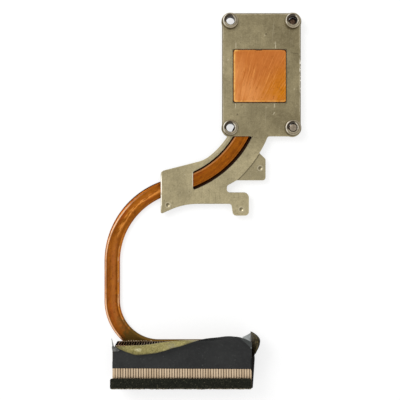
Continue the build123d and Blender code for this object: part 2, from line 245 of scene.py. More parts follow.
class Effects:
    """Shader effects that several finishes share, each built once as a node group."""

    def __init__(self) -> None:
        """Builds every group."""
        self.hairlines = self._hairlines()
        self.specks = self._specks()
        self.mottle = self._mottle()
        self.worn_edge = self._worn_edge()
        self.stroke = self._stroke()

    @staticmethod
    def _start(name: str, *numbers: str) -> Tuple[Tree, Any]:
        """Starts a group.

        Args:
            name: The group's name.
            *numbers: Names of its inputs besides the vector.

        Returns:
            The tree and its inputs.
        """
        group = bpy.data.node_groups.new(name, "ShaderNodeTree")
        group.interface.new_socket("Vector", in_out="INPUT", socket_type="NodeSocketVector")
        for number in numbers:
            group.interface.new_socket(number, in_out="INPUT", socket_type="NodeSocketFloat")
        tree = Tree(group)
        return tree, tree.add("NodeGroupInput").outputs

    @staticmethod
    def _end(tree: Tree, results: Mapping[str, Socket]) -> NodeTree:
        """Ends a group with its results by name, and gives it.

        Args:
            tree: The group's tree.
            results: What it puts out.

        Returns:
            The group.
        """
        for name in results:
            tree.tree.interface.new_socket(name, in_out="OUTPUT", socket_type="NodeSocketFloat")
        tree.add("NodeGroupOutput", results)
        return tree.tree

    def _hairlines(self) -> NodeTree:
        """Fine brushed or drawn lines: noise pulled long along X of its coordinates.

        Returns:
            The node group.
        """
        tree, given = self._start("hairlines", "Share")
        tone = tree.cloud(given["Vector"], 1.0, 2.0, 0.6)
        return self._end(tree, {"Lines": tree.spread(tone, given["Share"], 0.86), "Tone": tone})

    def _specks(self) -> NodeTree:
        """Scattered round specks of uneven size.

        Returns:
            The node group.
        """
        tree, given = self._start("specks", "Scale", "Size")
        inputs = {"Vector": given["Vector"], "Scale": given["Scale"]}
        cells = tree.add("ShaderNodeTexVoronoi", inputs).outputs
        chance = tree.parts(cells["Color"])[0]
        reach = tree.both(tree.calc("POWER", chance, 3.0), given["Size"])
        inside = tree.less(reach, cells["Distance"])
        return self._end(tree, {"Mask": tree.spread(inside, -0.02, 0.06)})

    def _mottle(self) -> NodeTree:
        """Broad cloudy tone with finer clouds in it.

        Returns:
            The node group.
        """
        tree, given = self._start("mottle", "Scale", "Fine Share")
        inputs = {0: given["Vector"], "Scale": given["Scale"]}
        scaled = tree.add("ShaderNodeVectorMath", inputs, operation="SCALE").outputs[0]
        broad = tree.cloud(scaled, 1.0, 2.0, 0.5)
        fine = tree.cloud(scaled, 7.0, 4.0, 0.6)
        tone = tree.between(given["Fine Share"], broad, fine)
        return self._end(tree, {"Tone": tree.spread(tone, 0.28, 0.72)})

    def _worn_edge(self) -> NodeTree:
        """Mask along sharp edges, broken up by noise.

        Returns:
            The node group.
        """
        tree, given = self._start("worn_edge", "Radius", "Break")
        rounded = tree.add("ShaderNodeBevel", {"Radius": given["Radius"]}, samples=6).outputs[0]
        flat = tree.add("ShaderNodeNewGeometry").outputs["Normal"]
        same = tree.add("ShaderNodeVectorMath", {0: rounded, 1: flat}, operation="DOT_PRODUCT")
        edge = tree.spread(same.outputs["Value"], 0.995, 0.86)
        kept = tree.spread(tree.cloud(given["Vector"], 420.0, 3.0, 0.6), given["Break"], 0.7)
        return self._end(tree, {"Mask": tree.both(edge, kept)})

    def _stroke(self) -> NodeTree:
        """Mask of one soft-ended straight stroke about the origin of its coordinates, along X.

        Returns:
            The node group.
        """
        tree, given = self._start("stroke", "Half Length", "Half Width")
        along, across, _ = tree.parts(given["Vector"])
        length = tree.spread(tree.ratio(tree.size(along), given["Half Length"]), 1.0, 0.5)
        width = tree.spread(tree.ratio(tree.size(across), given["Half Width"]), 1.0, 0.35)
        return self._end(tree, {"Mask": tree.both(length, width)})


@lru_cache(maxsize=None)
def shared_effects() -> Effects:
    """Gives the shared effects, which are built on first use."""
    return Effects()


class Surface(Tree):
    """A material under construction: its coordinates, its shader and the colour laid so far."""

    def __init__(self, name: str, metallic: float, specular: float) -> None:
        """Starts a material with a plain Principled shader.

        Args:
            name: The material's name.
            metallic: 1 for bare metal, 0 for anything else.
            specular: Specular level of a surface that isn't metal.
        """
        self.material = bpy.data.materials.new(name)
        self.material.use_nodes = True
        super().__init__(self.material.node_tree)
        self.tree.nodes.clear()
        self.effects = shared_effects()
        gloss = {"Metallic": metallic, "Specular IOR Level": specular}
        self.shader = self.add("ShaderNodeBsdfPrincipled", gloss)
        self.add("ShaderNodeOutputMaterial", {"Surface": self.shader.outputs[0]})
        self.where = self.add("ShaderNodeTexCoord").outputs["Object"]
        self.x, self.y, self.z = self.parts(self.where)
        self.colour: Value = rgba((0.0, 0.0, 0.0))

    def offset(self, point: Lengths) -> Tuple[Socket, Socket]:
        """Gives the distances along X and along Y from a point in the plan."""
        return self.less(self.x, point[0]), self.less(self.y, point[1])

    def effect(self, kind: NodeTree, where: Value, inputs: Mapping[str, float]) -> Any:
        """Places a shared effect at some coordinates and gives its outputs."""
        return self.add("ShaderNodeGroup", {"Vector": where, **inputs}, node_tree=kind).outputs

    def mottle(self, scale: float, fine: float) -> Socket:
        """Gives cloudy tone with a share of finer clouds."""
        return self.effect(self.effects.mottle, self.where, {"Scale": scale, "Fine Share": fine})[0]

    def specks(self, where: Value, scale: float, size: float) -> Socket:
        """Gives a mask of scattered specks."""
        return self.effect(self.effects.specks, where, {"Scale": scale, "Size": size})[0]

    def hairlines(self, where: Value, share: float) -> Tuple[Socket, Socket]:
        """Gives a mask of fine lines above a share of the tone, and the tone itself."""
        made = self.effect(self.effects.hairlines, where, {"Share": share})
        return made["Lines"], made["Tone"]

    def worn_edge(self, radius: float, broken: float) -> Socket:
        """Gives a mask along sharp edges."""
        return self.effect(self.effects.worn_edge, self.where, {"Radius": radius, "Break": broken})[0]

    def patches(
        self, scale: float, low: float, high: float, least: float = 0.0, most: float = 1.0,
        detail: float = 3.0, roughness: float = 0.55,
    ) -> Socket:
        """Gives a mask of soft patches.

        Args:
            scale: Features to the metre.
            low: Level of the noise at which a patch starts.
            high: Level at which it is full.
            least: Result outside the patches.
            most: Result inside them.
            detail: Octaves of the noise.
            roughness: Strength of the finer octaves.

        Returns:
            The mask.
        """
        return self.spread(self.cloud(self.where, scale, detail, roughness), low, high, least, most)

    def base(self, share: Value, under: Colour, over: Colour) -> None:
        """Starts the colour with a share of one tone over another."""
        self.colour = self.lay(share, rgba(under), rgba(over))

    def coat(self, colour: Colour, *masks: Value) -> None:
        """Lays a colour on where all the masks are, each a pattern or a plain share."""
        self.colour = self.lay(self.both(*masks), self.colour, rgba(colour))

    def finish(self, roughness: Value, height: Value, depth: float) -> None:
        """Joins the colour, the roughness and the relief to the shader.

        Args:
            roughness: Roughness.
            height: Relief from 0 to 1.
            depth: Height of the relief in metres.
        """
        bump = self.add("ShaderNodeBump", {"Height": height, "Distance": depth, "Strength": 1.0})
        ends = {"Base Color": self.colour, "Roughness": roughness, "Normal": bump.outputs[0]}
        for name, value in ends.items():
            self.tree.links.new(value, self.shader.inputs[name])


class Finish:
    """A finish: its name, how metallic and glossy it is, its relief and the coats laid on it."""

    name: str
    metallic: float = 1.0
    specular: float = 0.5
    relief: float = 0.01 * MM

    def build(self) -> Material:
        """Builds the material.

        Returns:
            The material.
        """
        surface = Surface(self.name, self.metallic, self.specular)
        self.paint(surface)
        return surface.material

    def paint(self, s: Surface) -> None:
        """Lays the finish's own colours, roughness and relief on its surface."""
        raise NotImplementedError


@dataclass(frozen=True)
class Stroke:
    """A straight mark: its middle, half length and half width in millimetres, and its turn."""

    x: float
    y: float
    half_length: float
    half_width: float
    turn: float


@dataclass(frozen=True)
class BushSeats:
    """Where the four bushes stand: distances that are the same about each of them."""

    middle: Lengths = mm(1, 0.8)
    spacing: Lengths = mm(35, 60)

    def local(self, s: Surface) -> Tuple[Socket, Socket]:
        """Gives the distances from the nearest bush's axis, along X and along Y.

        Args:
            s: Surface of the finish.

        Returns:
            The two distances.
        """
        found = []
        for place, middle, spacing in zip((s.x, s.y), self.middle, self.spacing):
            whole = s.less(place, middle)
            found.append(s.less(whole, s.both(s.calc("SIGN", whole), spacing / 2)))
        return found[0], found[1]

    def radius(self, s: Surface) -> Socket:
        """Gives the distance from the nearest bush's axis."""
        return s.distance(*self.local(s))

    def facing(self, s: Surface, turn: float) -> Socket:
        """Gives 1 on the side of each bush that faces a direction in the plan, and -1 behind."""
        local_x, local_y = self.local(s)
        along = s.plus(s.both(local_x, math.cos(turn)), s.both(local_y, math.sin(turn)))
        return s.ratio(along, s.distance(local_x, local_y))


@dataclass(frozen=True)
class PlateFinish(Finish):
    """Dull warm-grey cast alloy with fine scratches, scribed ticks and edge wear, with painted light and
    shade.
    """

    name: str = "cast_plate"
    dark: Colour = (0.232, 0.19, 0.104)
    light: Colour = (0.53, 0.455, 0.272)
    # Pale colour for scratches, wear and ticks, and for painted highlights on dimples, bevels and rims.
    worn_and_lit: Colour = (0.66, 0.585, 0.42)
    gleam: Colour = (0.98, 0.93, 0.81)
    # Dark colour for grime and stains, and for painted shade at the step, the rims, the dimples and round
    # the pad and bushes.
    grime_and_shade: Colour = (0.085, 0.068, 0.038)
    # Near black for painted shade along the edges and walls of the pipe's slot.
    painted_shade: Colour = (0.014, 0.007, 0.003)
    arm_y: Span = mm(-26, -47)
    left_x: Span = mm(12, -18)
    left_y: Span = mm(34, 16)
    arm_tail_x: Span = mm(-34, -48)
    foot_x: Span = mm(-30, -16)
    foot_y: Span = mm(-58, -72)
    seats: BushSeats = BushSeats()
    seat_ring: Span = mm(5, 4.25)
    window: Span = mm(15.6, 15.05)
    bend_centre: Lengths = mm(-57.9, -8)
    step_radius: Span = mm(68.65, 67.75)
    step_level: Span = mm(-1, -1.1)
    slot_radii: Lengths = mm(50.25, 59.65)
    slot_line: Lengths = mm(0.08, 0.26)
    slot_top_y: Span = mm(-33.7, -34)
    slot_left_x: Span = mm(-37.9, -37.4)
    slot_start_x: Span = mm(-37.4, -36.8)
    slot_end_x: Band = mm(-37.75, 0.1, 0.4)
    slot_end_y: Band = mm(-58.2, 2.6, 5)
    slot_middle: Band = mm(54.95, 5, 5.5)
    slot_wall_z: Span = mm(-0.52, -0.58)
    arm_rim: Band = mm(48.35, 0.15, 0.65)
    arm_rim_x: Span = mm(-32, -24)
    arm_rim_y: Span = mm(-29, -33)
    half_sides: Lengths = mm(22.15, 34.65)
    plate_y: Span = mm(-34.2, -33.4)
    nick_rim: Band = mm(-0.75, 0.1, 0.42)
    shaded_rim: Span = mm(-0.55, -0.2)
    chip_rim: Band = mm(-0.25, 0.15, 0.55)
    chip_x: Span = mm(18, 22)
    chip_y: Band = mm(2, 6, 14)
    dimples: Tuple[Lengths, ...] = (mm(-51.65, -72.55), mm(-10.35, -75.05), mm(0.4, -51.8))
    dimple_radius: float = 1.45 * MM
    dimple_lip: Lengths = mm(0.08, 0.45)
    bevel_x: Band = mm(-55.375, 0.2, 0.375)
    bevel_y: Band = mm(-65, 7, 11)
    edge_radius: float = 0.4 * MM
    ticks: Tuple[Stroke, ...] = (
        Stroke(-13.4, 17.3, 1.9, 0.21, UPRIGHT),
        Stroke(8.9, 17.3, 2.3, 0.24, UPRIGHT),
        Stroke(-13.6, -16.7, 1.6, 0.22, UPRIGHT),
        Stroke(8.4, -16.6, 1.5, 0.22, UPRIGHT),
        Stroke(8.0, -21.0, 1.2, 0.2, 1.0),
    )
    stains: Tuple[Stroke, ...] = (
        Stroke(19.6, 12.9, 2.6, 0.22, -0.1),
        Stroke(3.6, 23.6, 0.7, 0.5, 0.4),
        Stroke(-12.6, -21.6, 0.8, 0.5, 0.9),
        Stroke(-10.0, -16.3, 1.1, 0.35, 0.1),
    )

    def paint(self, s: Surface) -> None:
        """Lays the plate's tones, scratches, marks and dirt, and its painted light and shade.

        Args:
            s: The plate's surface.
        """
        tone = s.mottle(70.0, 0.35)
        self._tones(s, tone)
        grain = s.cloud(s.where, 1500.0, 4.0, 0.7)
        s.coat(self.grime_and_shade, s.spread(grain, 0.62, 0.25, 0.0, 0.26))
        s.coat(self.worn_and_lit, s.spread(grain, 0.52, 0.8, 0.0, 0.24))
        upright, upright_tone = s.hairlines(s.place(s.where, (55.0, 1900.0, 400.0), -1.52), 0.6)
        slanted = s.place(s.where, (45.0, 2300.0, 400.0), -0.62, (0.3, 0.0, 0.0))
        lines = s.most(upright, s.hairlines(slanted, 0.66)[0])
        s.coat(self.worn_and_lit, lines, 0.42)
        s.coat(self.grime_and_shade, s.spread(upright_tone, 0.42, 0.22, 0.0, 0.3))
        s.coat(self.grime_and_shade, s.patches(190.0, 0.6, 0.74, 0.0, 0.34, 5.0, 0.68))
        s.coat(self.grime_and_shade, s.specks(s.where, 560.0, 0.3), 0.24)
        moved = s.place(s.where, (1.0, 1.0, 1.0), 0.7, (0.3, 0.1, 0.0))
        s.coat(self.worn_and_lit, s.specks(moved, 560.0, 0.36), s.patches(60.0, 0.5, 0.68, 0.04, 0.42))
        ticks = self._marks(s, self.ticks)
        s.coat(self.grime_and_shade, self._marks(s, self.stains), 0.65)
        s.coat(self.worn_and_lit, ticks)
        slot_wall = self._slot(s)
        self._rim(s)
        self._dimples(s)
        # Painted highlight along the bevel of the arm's left edge.
        bevel_highlight = s.both(s.near(s.x, *self.bevel_x), s.near(s.y, *self.bevel_y))
        s.coat(self.gleam, bevel_highlight, s.patches(500.0, 0.34, 0.56, 0.25, 1.0))
        # Painted shade round the pad's window and round the foot of each bush.
        from_middle = s.most(s.size(s.x), s.size(s.y))
        s.coat(self.grime_and_shade, s.spread(from_middle, *self.window, 0.0, 0.75))
        s.coat(self.grime_and_shade, s.spread(self.seats.radius(s), *self.seat_ring), 0.55)
        s.coat(self.worn_and_lit, s.worn_edge(self.edge_radius, 0.3), 0.7)
        # Painted shade on the walls of the pipe's slot.
        s.coat(self.painted_shade, slot_wall)
        mixed = s.plus(s.both(tone, 0.6), s.both(grain, 0.4))
        height = s.less(s.less(grain, s.both(lines, 0.5)), s.both(ticks, 1.2))
        s.finish(s.spread(mixed, 0.2, 0.9, 0.36, 0.54), height, self.relief)

    def _tones(self, s: Surface, tone: Socket) -> None:
        """Starts the colour, with painted light that makes the arm, the foot and the plate's left lighter.

        Args:
            s: The plate's surface.
            tone: Its cloudy tone.
        """
        # Painted light: the arm, the foot and the plate's left are lighter and the arm's tail darker, as the
        # light falls.
        arm = s.spread(s.y, *self.arm_y)
        left = s.both(s.spread(s.x, *self.left_x), s.spread(s.y, *self.left_y, 0.22, 0.45))
        arm_tail = s.spread(s.x, *self.arm_tail_x, 0.0, 0.22)
        foot = s.both(s.spread(s.y, *self.foot_y, 0.0, 0.14), s.spread(s.x, *self.foot_x))
        lift = s.plus(s.less(s.most(arm, left), arm_tail), foot)
        share = s.calc("ADD", s.both(tone, 0.42), s.both(lift, 0.62), clamp=True)
        s.base(share, self.dark, self.light)

    @staticmethod
    def _marks(s: Surface, marks: Sequence[Stroke]) -> Socket:
        """Gives one broken mask for several straight marks.

        Args:
            s: The plate's surface.
            marks: The marks.

        Returns:
            Their mask.
        """
        total: Value = 0.0
        for mark in marks:
            turn = (0.0, 0.0, mark.turn)
            inputs = {"Vector": s.where, "Location": mm(mark.x, mark.y, 0), "Rotation": turn}
            local = s.add("ShaderNodeMapping", inputs, vector_type="TEXTURE").outputs[0]
            sizes = {"Half Length": mark.half_length * MM, "Half Width": mark.half_width * MM}
            total = s.most(s.effect(s.effects.stroke, local, sizes)[0], total)
        return s.both(total, s.patches(900.0, 0.18, 0.46))

    def _slot(self, s: Surface) -> Socket:
        """Darkens the lower level, paints shade along its step and along the edges and walls of the pipe's
        slot in the arm, and paints highlights at the slot's end and on the arm's inner edge.

        Args:
            s: The plate's surface.

        Returns:
            A mask of the slot's walls.
        """
        from_bend = s.distance(*s.offset(self.bend_centre))
        low_level = s.spread(s.z, *self.step_level)
        # The lower level a little darker, and painted shadow along the step at the arm's outer edge.
        s.coat(self.grime_and_shade, low_level, 0.22)
        s.coat(self.grime_and_shade, s.spread(from_bend, *self.step_radius), low_level, 0.8)
        beside = s.both(s.spread(s.y, *self.slot_top_y), s.spread(s.x, *self.slot_left_x))
        along_slot = s.both(beside, s.spread(s.x, *self.slot_start_x))
        # Painted shade along both edges of the slot.
        for radius in self.slot_radii:
            s.coat(self.painted_shade, s.near(from_bend, radius, *self.slot_line), along_slot)
        # Painted highlight along the slot's left end.
        s.coat(self.gleam, s.near(s.x, *self.slot_end_x, 0.45), s.near(s.y, *self.slot_end_y))
        # A pale line with scratches along the arm's inner edge, partly painted highlight.
        scuffed = s.patches(150.0, 0.4, 0.62, 0.15, 1.0, 4.0, 0.65)
        arm_edge = s.both(s.spread(s.y, *self.arm_rim_y), s.spread(s.x, *self.arm_rim_x))
        s.coat(self.worn_and_lit, s.near(from_bend, *self.arm_rim, 0.6), scuffed, arm_edge)
        return s.both(s.near(from_bend, *self.slot_middle), beside, s.spread(s.z, *self.slot_wall_z))

    def _rim(self, s: Surface) -> None:
        """Nicks the edge of the plate above its arm, paints shade along it and chips it.

        Args:
            s: The plate's surface.
        """
        from_side = s.less(s.size(s.less(s.x, self.seats.middle[0])), self.half_sides[0])
        from_top = s.less(s.y, self.seats.middle[1] + self.half_sides[1])
        rim = s.most(from_side, from_top)
        on_plate = s.spread(s.y, *self.plate_y)
        s.coat(self.worn_and_lit, s.near(rim, *self.nick_rim, 0.45), s.patches(260.0, 0.36, 0.6), on_plate)
        # Painted shade: a dark line along the plate's edge.
        s.coat(self.grime_and_shade, s.spread(rim, *self.shaded_rim, 0.0, 0.72), on_plate)
        chips = s.both(s.near(rim, *self.chip_rim), s.patches(640.0, 0.56, 0.66, detail=2.0))
        s.coat(self.gleam, chips, s.spread(s.x, *self.chip_x), s.near(s.y, *self.chip_y))

    def _dimples(self, s: Surface) -> None:
        """Shades each dimple as a hollow lit from the upper left.

        Args:
            s: The plate's surface.
        """
        radius = self.dimple_radius
        for middle in self.dimples:
            local = s.offset(middle)
            apart = s.distance(*local)
            slope = s.ratio(s.less(*local), radius)
            hollow = s.spread(apart, radius, 0.5 * radius)
            s.coat(self.worn_and_lit, s.near(apart, radius, *self.dimple_lip, 0.55))
            s.coat(self.grime_and_shade, hollow, s.spread(slope, 0.7, -0.6, 0.15, 0.7))
            s.coat(self.worn_and_lit, hollow, s.spread(slope, 0.45, 0.95, 0.0, 0.85))


@dataclass(frozen=True)
class BushFinish(Finish):
    """Turned steel: rings about each bore, with painted highlights on the lip and rim and painted shade in
    the bore.
    """

    name: str = "turned_bush"
    specular: float = 0.1
    dark: Colour = (0.175, 0.14, 0.088)
    light: Colour = (0.6, 0.515, 0.355)
    glint: Colour = (0.98, 0.93, 0.81)
    bore: Colour = (0.03, 0.019, 0.012)
    lip_turn: float = 0.75
    rim_turn: float = 2.95
    shade_turn: float = 2.35
    shade_reach: float = 1.15 * MM
    seats: BushSeats = BushSeats()
    bore_edge: Span = mm(2.55, 2.4)
    step: Band = mm(3.55, 0.06, 0.28)
    lip: Band = mm(2.72, 0.08, 0.34)
    rim: Band = mm(3.9, 0.12, 0.42)
    edge_radius: float = 0.22 * MM
    turning: float = 5200.0
    relief: float = 0.012 * MM

    def paint(self, s: Surface) -> None:
        """Lays the turned rings, painted highlights on the lips and rims, and painted shade at the step and
        in the bores.

        Args:
            s: The bushes' surface.
        """
        radius = self.seats.radius(s)
        turned = s.point(s.both(radius, self.turning), s.both(s.z, self.turning))
        rings = s.cloud(turned, 1.0, 2.0, 0.6)
        tone = s.mottle(330.0, 0.4)
        s.base(s.plus(s.both(rings, 0.45), s.both(tone, 0.4)), self.dark, self.light)
        # Painted shade: a dark ring at the collar's step.
        s.coat(self.bore, s.near(radius, *self.step, 0.45))
        s.coat(self.light, s.worn_edge(self.edge_radius, 0.3), 0.45)
        # Painted highlights on the side of each lip and rim that faces the light.
        lip_side = s.spread(self.seats.facing(s, self.lip_turn), -0.1, 0.75, 0.12, 0.95)
        rim_side = s.spread(self.seats.facing(s, self.rim_turn), 0.45, 0.9, 0.1, 0.9)
        lip = s.both(s.near(radius, *self.lip), lip_side)
        rim = s.both(s.near(radius, *self.rim), rim_side)
        s.coat(self.glint, s.most(lip, rim), s.patches(330.0, 0.36, 0.62, 0.35, 1.0, 2.0))
        # Painted shade in each bore, reaching farther on its upper-left side.
        shadowed = s.spread(self.seats.facing(s, self.shade_turn), 0.05, 0.8, 0.0, self.shade_reach)
        inside = s.spread(s.less(radius, shadowed), *self.bore_edge, 0.0, 0.92)
        s.coat(self.bore, inside)
        s.tree.links.new(s.less(1.0, inside), s.shader.inputs["Metallic"])
        s.finish(s.spread(tone, 0.0, 1.0, 0.28, 0.44), rings, self.relief)


@dataclass(frozen=True)
class PadFinish(Finish):
    """Bare copper lapped by hand: steep diagonal streaks, rosy above and golden below."""

    name: str = "lapped_pad"
    rosy: Colour = (0.625, 0.192, 0.04)
    pale: Colour = (0.88, 0.355, 0.108)
    golden: Colour = (0.66, 0.205, 0.001)
    deep: Colour = (0.38, 0.105, 0.016)
    edge: Colour = (0.96, 0.43, 0.115)
    lit_edge: Colour = (1.0, 0.56, 0.15)
    gap: Colour = (0.08, 0.022, 0.006)
    fan_centre: Lengths = mm(-23, -64)
    fan_radius: float = 66.0 * MM
    waver: float = 1.3 * MM
    half_side: float = 14.75 * MM
    corner: float = 1.25 * MM
    golden_diagonal: Span = mm(-2, 24)
    pale_diagonal: Span = mm(8, -22)
    lapped_y: Span = mm(13, 2)
    lit_x: Span = mm(-11, -13.8)
    lit_y: Span = mm(-12.4, -13.8)
    lit_rim: Band = mm(-0.55, 0.18, 0.55)
    sunk_y: Span = mm(13, 14)
    sunk_rim: Span = mm(-0.2, -0.62)
    gap_fade: float = 0.18 * MM

    def paint(self, s: Surface) -> None:
        """Lays the two copper tones and the lapping streaks, with a painted highlight and shade at the rim.

        Args:
            s: The pad's surface.
        """
        corner = s.spread(s.less(s.x, s.y), *self.golden_diagonal)
        s.base(s.both(corner, s.spread(s.mottle(130.0, 0.3), 0.0, 0.6, 0.45, 1.0)), self.rosy, self.golden)
        fan = self._fan(s)
        strokes, first_tone = s.hairlines(s.place(fan, (95.0, 2100.0, 1.0)), 0.51)
        _, second_tone = s.hairlines(s.place(fan, (240.0, 1900.0, 1.0), move=(0.7, 0.2, 0.0)), 0.58)
        wide = s.cloud(s.place(fan, (60.0, 420.0, 1.0), move=(0.02, 0.0, 0.0)), 1.0, 2.0, 0.5)
        low_left = s.spread(s.plus(s.x, s.y), *self.pale_diagonal, 0.06, 1.0)
        s.coat(self.pale, s.spread(wide, 0.28, 0.66), low_left)
        lapped = s.spread(s.y, *self.lapped_y, 0.45, 1.0)
        s.coat(self.deep, s.spread(second_tone, 0.46, 0.26, 0.0, 0.48), lapped)
        cloudy = s.cloud(s.where, 330.0, 4.0, 0.62)
        s.coat(self.deep, s.spread(cloudy, 0.47, 0.28, 0.0, 0.36))
        s.coat(self.pale, s.spread(cloudy, 0.55, 0.76, 0.0, 0.24))
        s.coat(self.deep, s.specks(s.where, 900.0, 0.5), corner, 0.55)
        s.coat(self.edge, strokes, lapped)
        self._rim(s)
        height = s.plus(first_tone, s.both(second_tone, 0.7))
        s.finish(s.spread(first_tone, 0.2, 0.8, 0.3, 0.46), height, self.relief)

    def _fan(self, s: Surface) -> Socket:
        """Gives wavering coordinates along and across the strokes, which fan out from a far centre.

        Args:
            s: The pad's surface.

        Returns:
            The coordinates.
        """
        from_x, from_y = s.offset(self.fan_centre)
        swing = s.both(s.calc("ARCTAN2", from_y, from_x), self.fan_radius)
        waver = s.both(s.less(s.cloud(s.where, 75.0, 2.0), 0.5), self.waver)
        return s.point(s.distance(from_x, from_y), s.plus(swing, waver))

    def _rim(self, s: Surface) -> None:
        """Paints a highlight on the chipped edge at the lower left, and paints shade in the gap around the
        pad.

        Args:
            s: The pad's surface.
        """
        straight = self.half_side - self.corner
        beyond = [s.most(s.less(s.size(side), straight), 0.0) for side in (s.x, s.y)]
        rim = s.less(s.distance(*beyond), self.corner)
        lit_left = s.spread(s.x, *self.lit_x, 0.12, 0.95)
        lit_side = s.most(lit_left, s.spread(s.y, *self.lit_y, 0.0, 0.45))
        chipped = s.patches(420.0, 0.34, 0.56, 0.35, 1.0, 2.0)
        # Painted highlight on the pad's edge on the side that faces the light.
        s.coat(self.lit_edge, s.near(rim, *self.lit_rim), lit_side, chipped)
        # Painted shade in the gap round the pad, wider where the pad sits low.
        sunk = s.both(s.spread(s.y, *self.sunk_y), s.patches(130.0, 0.46, 0.56, detail=2.0))
        gap_edge = s.spread(sunk, 0.0, 1.0, *self.sunk_rim)
        s.coat(self.gap, s.spread(s.less(rim, gap_edge), 0.0, self.gap_fade, 0.0, 0.88))


@dataclass(frozen=True)
class PipeFinish(Finish):
    """Drawn copper tube, browned by heat, with flux near the fins, painted light along its shoulders and
    painted shade in the slot and by the arm.

    Its lengths along the pipe start at the tip in the pad, and those across it at its middle.
    """

    name: str = "drawn_pipe"
    brown: Colour = (0.335, 0.09, 0.008)
    bright: Colour = (0.54, 0.172, 0.016)
    red: Colour = (0.4, 0.078, 0.012)
    pink_sheen: Colour = (0.6, 0.205, 0.048)
    shine: Colour = (1.0, 0.62, 0.37)
    orange_highlight: Colour = (0.9, 0.35, 0.065)
    spark: Colour = (1.0, 0.78, 0.48)
    gold: Colour = (0.92, 0.35, 0.07)
    glaze_and_sheen: Colour = (0.7, 0.235, 0.01)
    deep: Colour = (0.13, 0.032, 0.004)
    dusk: Colour = (0.04, 0.01, 0.002)
    flux: Colour = (0.11, 0.072, 0.016)
    slot_in: Span = mm(34, 38)
    slot_out: Span = mm(96, 92)
    slot_foot: Span = mm(83, 92)
    slot_shades: Tuple[Span, ...] = (mm(3, 3.7), mm(-3.4, -4.1))
    slot_highlights: Tuple[Tuple[Band, float], ...] = (
        (mm(2.55, 0.1, 0.5), 0.6),
        (mm(0.4, 0.1, 1.3), 0.18),
        (mm(-2.35, 0.1, 0.45), 0.22),
    )
    arm_out: Span = mm(95, 97)
    past_arm: Span = mm(122, 104)
    outline: Span = mm(3.1, 3.8)
    outline_in: Span = mm(94, 97)
    outline_out: Span = mm(160, 126)
    bend_in: Span = mm(104, 116)
    bend_out: Span = mm(160, 136)
    bend_shade: Span = mm(-1.4, -3.4)
    beam: Band = mm(-0.5, 0.3, 1.5)
    side_in: Span = mm(146, 160)
    side_out: Span = mm(212, 196)
    sheens: Tuple[Tuple[Band, float], ...] = ((mm(-0.9, 0.4, 1.8), 0.35), (mm(0.6, 2, 3.4), 0.12))
    outer_in: Span = mm(116, 142)
    ridge_in: Span = mm(130, 166)
    ridge_place: Span = mm(2.75, 3.5)
    ridge_line: Band = mm(0, 0.15, 0.55)
    inner_in: Span = mm(132, 160)
    inner_line: Band = mm(-3.5, 0.1, 0.5)
    edge_shade_in: Span = mm(136, 166)
    edge_shade_line: Band = mm(2.65, 0.08, 0.45)
    flux_in: Span = mm(199, 210)
    flux_tear: float = 20.0 * MM
    flux_slant: float = 0.9

    def paint(self, s: Surface) -> None:
        """Lays the drawn metal, the light along the pipe's runs and bends, and the flux.

        Args:
            s: The pipe's surface. Its x becomes the place along the pipe, and its y across it.
        """
        s.x, s.y = s.attribute(HeatPipe.ALONG), s.attribute(HeatPipe.ACROSS)
        tone = s.mottle(95.0, 0.4)
        height = self._metal(s, tone)
        broken = s.spread(self._drawn(s, (60.0, 60.0)), 0.3, 0.62, 0.35, 1.0)
        jagged = s.spread(self._drawn(s, (110.0, 520.0), (0.2, 0.4), 4.0, 0.68), 0.46, 0.58)
        in_slot = self._from_to(s, self.slot_in, self.slot_out)
        self._edges(s, broken, jagged, in_slot)
        self._bend(s, jagged)
        # Painted shade along both sides of the pipe in the slot, and painted highlight lines along its top
        # there.
        shade = s.most(*[s.spread(s.y, *span) for span in self.slot_shades])
        s.coat(self.dusk, shade, in_slot, 0.92)
        for band, amount in self.slot_highlights:
            s.coat(self.glaze_and_sheen, s.near(s.y, *band, amount), broken, in_slot)
        grain = self._drawn(s, (360.0, 760.0), (0.6, 0.3), 4.0, 0.7)
        s.coat(self.deep, s.spread(grain, 0.47, 0.3, 0.0, 0.58))
        s.coat(self.glaze_and_sheen, s.spread(grain, 0.54, 0.72, 0.0, 0.4))
        # Painted shade at the foot of the slot and where the pipe comes out from under the arm.
        slot_foot = s.both(s.spread(s.x, *self.slot_foot, 0.0, 0.2), in_slot)
        past_arm = s.both(s.spread(s.x, *self.arm_out), s.spread(s.x, *self.past_arm, 0.0, 0.5))
        s.coat(self.deep, s.most(slot_foot, past_arm))
        torn = s.plus(s.both(tone, 0.6), s.both(s.cloud(s.where, 520.0, 4.0), 0.4))
        ragged = s.plus(s.x, s.both(s.less(torn, 0.5), self.flux_tear))
        flux = s.spread(s.less(ragged, s.both(s.y, self.flux_slant)), *self.flux_in)
        s.coat(self.flux, flux, 0.9)
        s.finish(s.plus(s.spread(tone, 0.0, 1.0, 0.26, 0.38), s.both(flux, 0.15)), height, self.relief)

    @staticmethod
    def _from_to(s: Surface, start: Span, end: Span) -> Socket:
        """Gives a mask of the pipe from one place along it to another."""
        return s.both(s.spread(s.x, *start), s.spread(s.x, *end))

    @staticmethod
    def _drawn(
        s: Surface, stretch: Sequence[float], move: Sequence[float] = (0.0, 0.0),
        detail: float = 3.0, roughness: float = 0.55,
    ) -> Socket:
        """Gives soft noise on the unrolled pipe.

        Args:
            s: The pipe's surface.
            stretch: Features to the metre along the pipe and across it.
            move: Where in the noise it starts.
            detail: Octaves of the noise.
            roughness: Strength of the finer octaves.

        Returns:
            The noise.
        """
        flat = s.place(s.point(s.x, s.y), (*stretch, 1.0), move=(*move, 0.0))
        return s.cloud(flat, 1.0, detail, roughness)

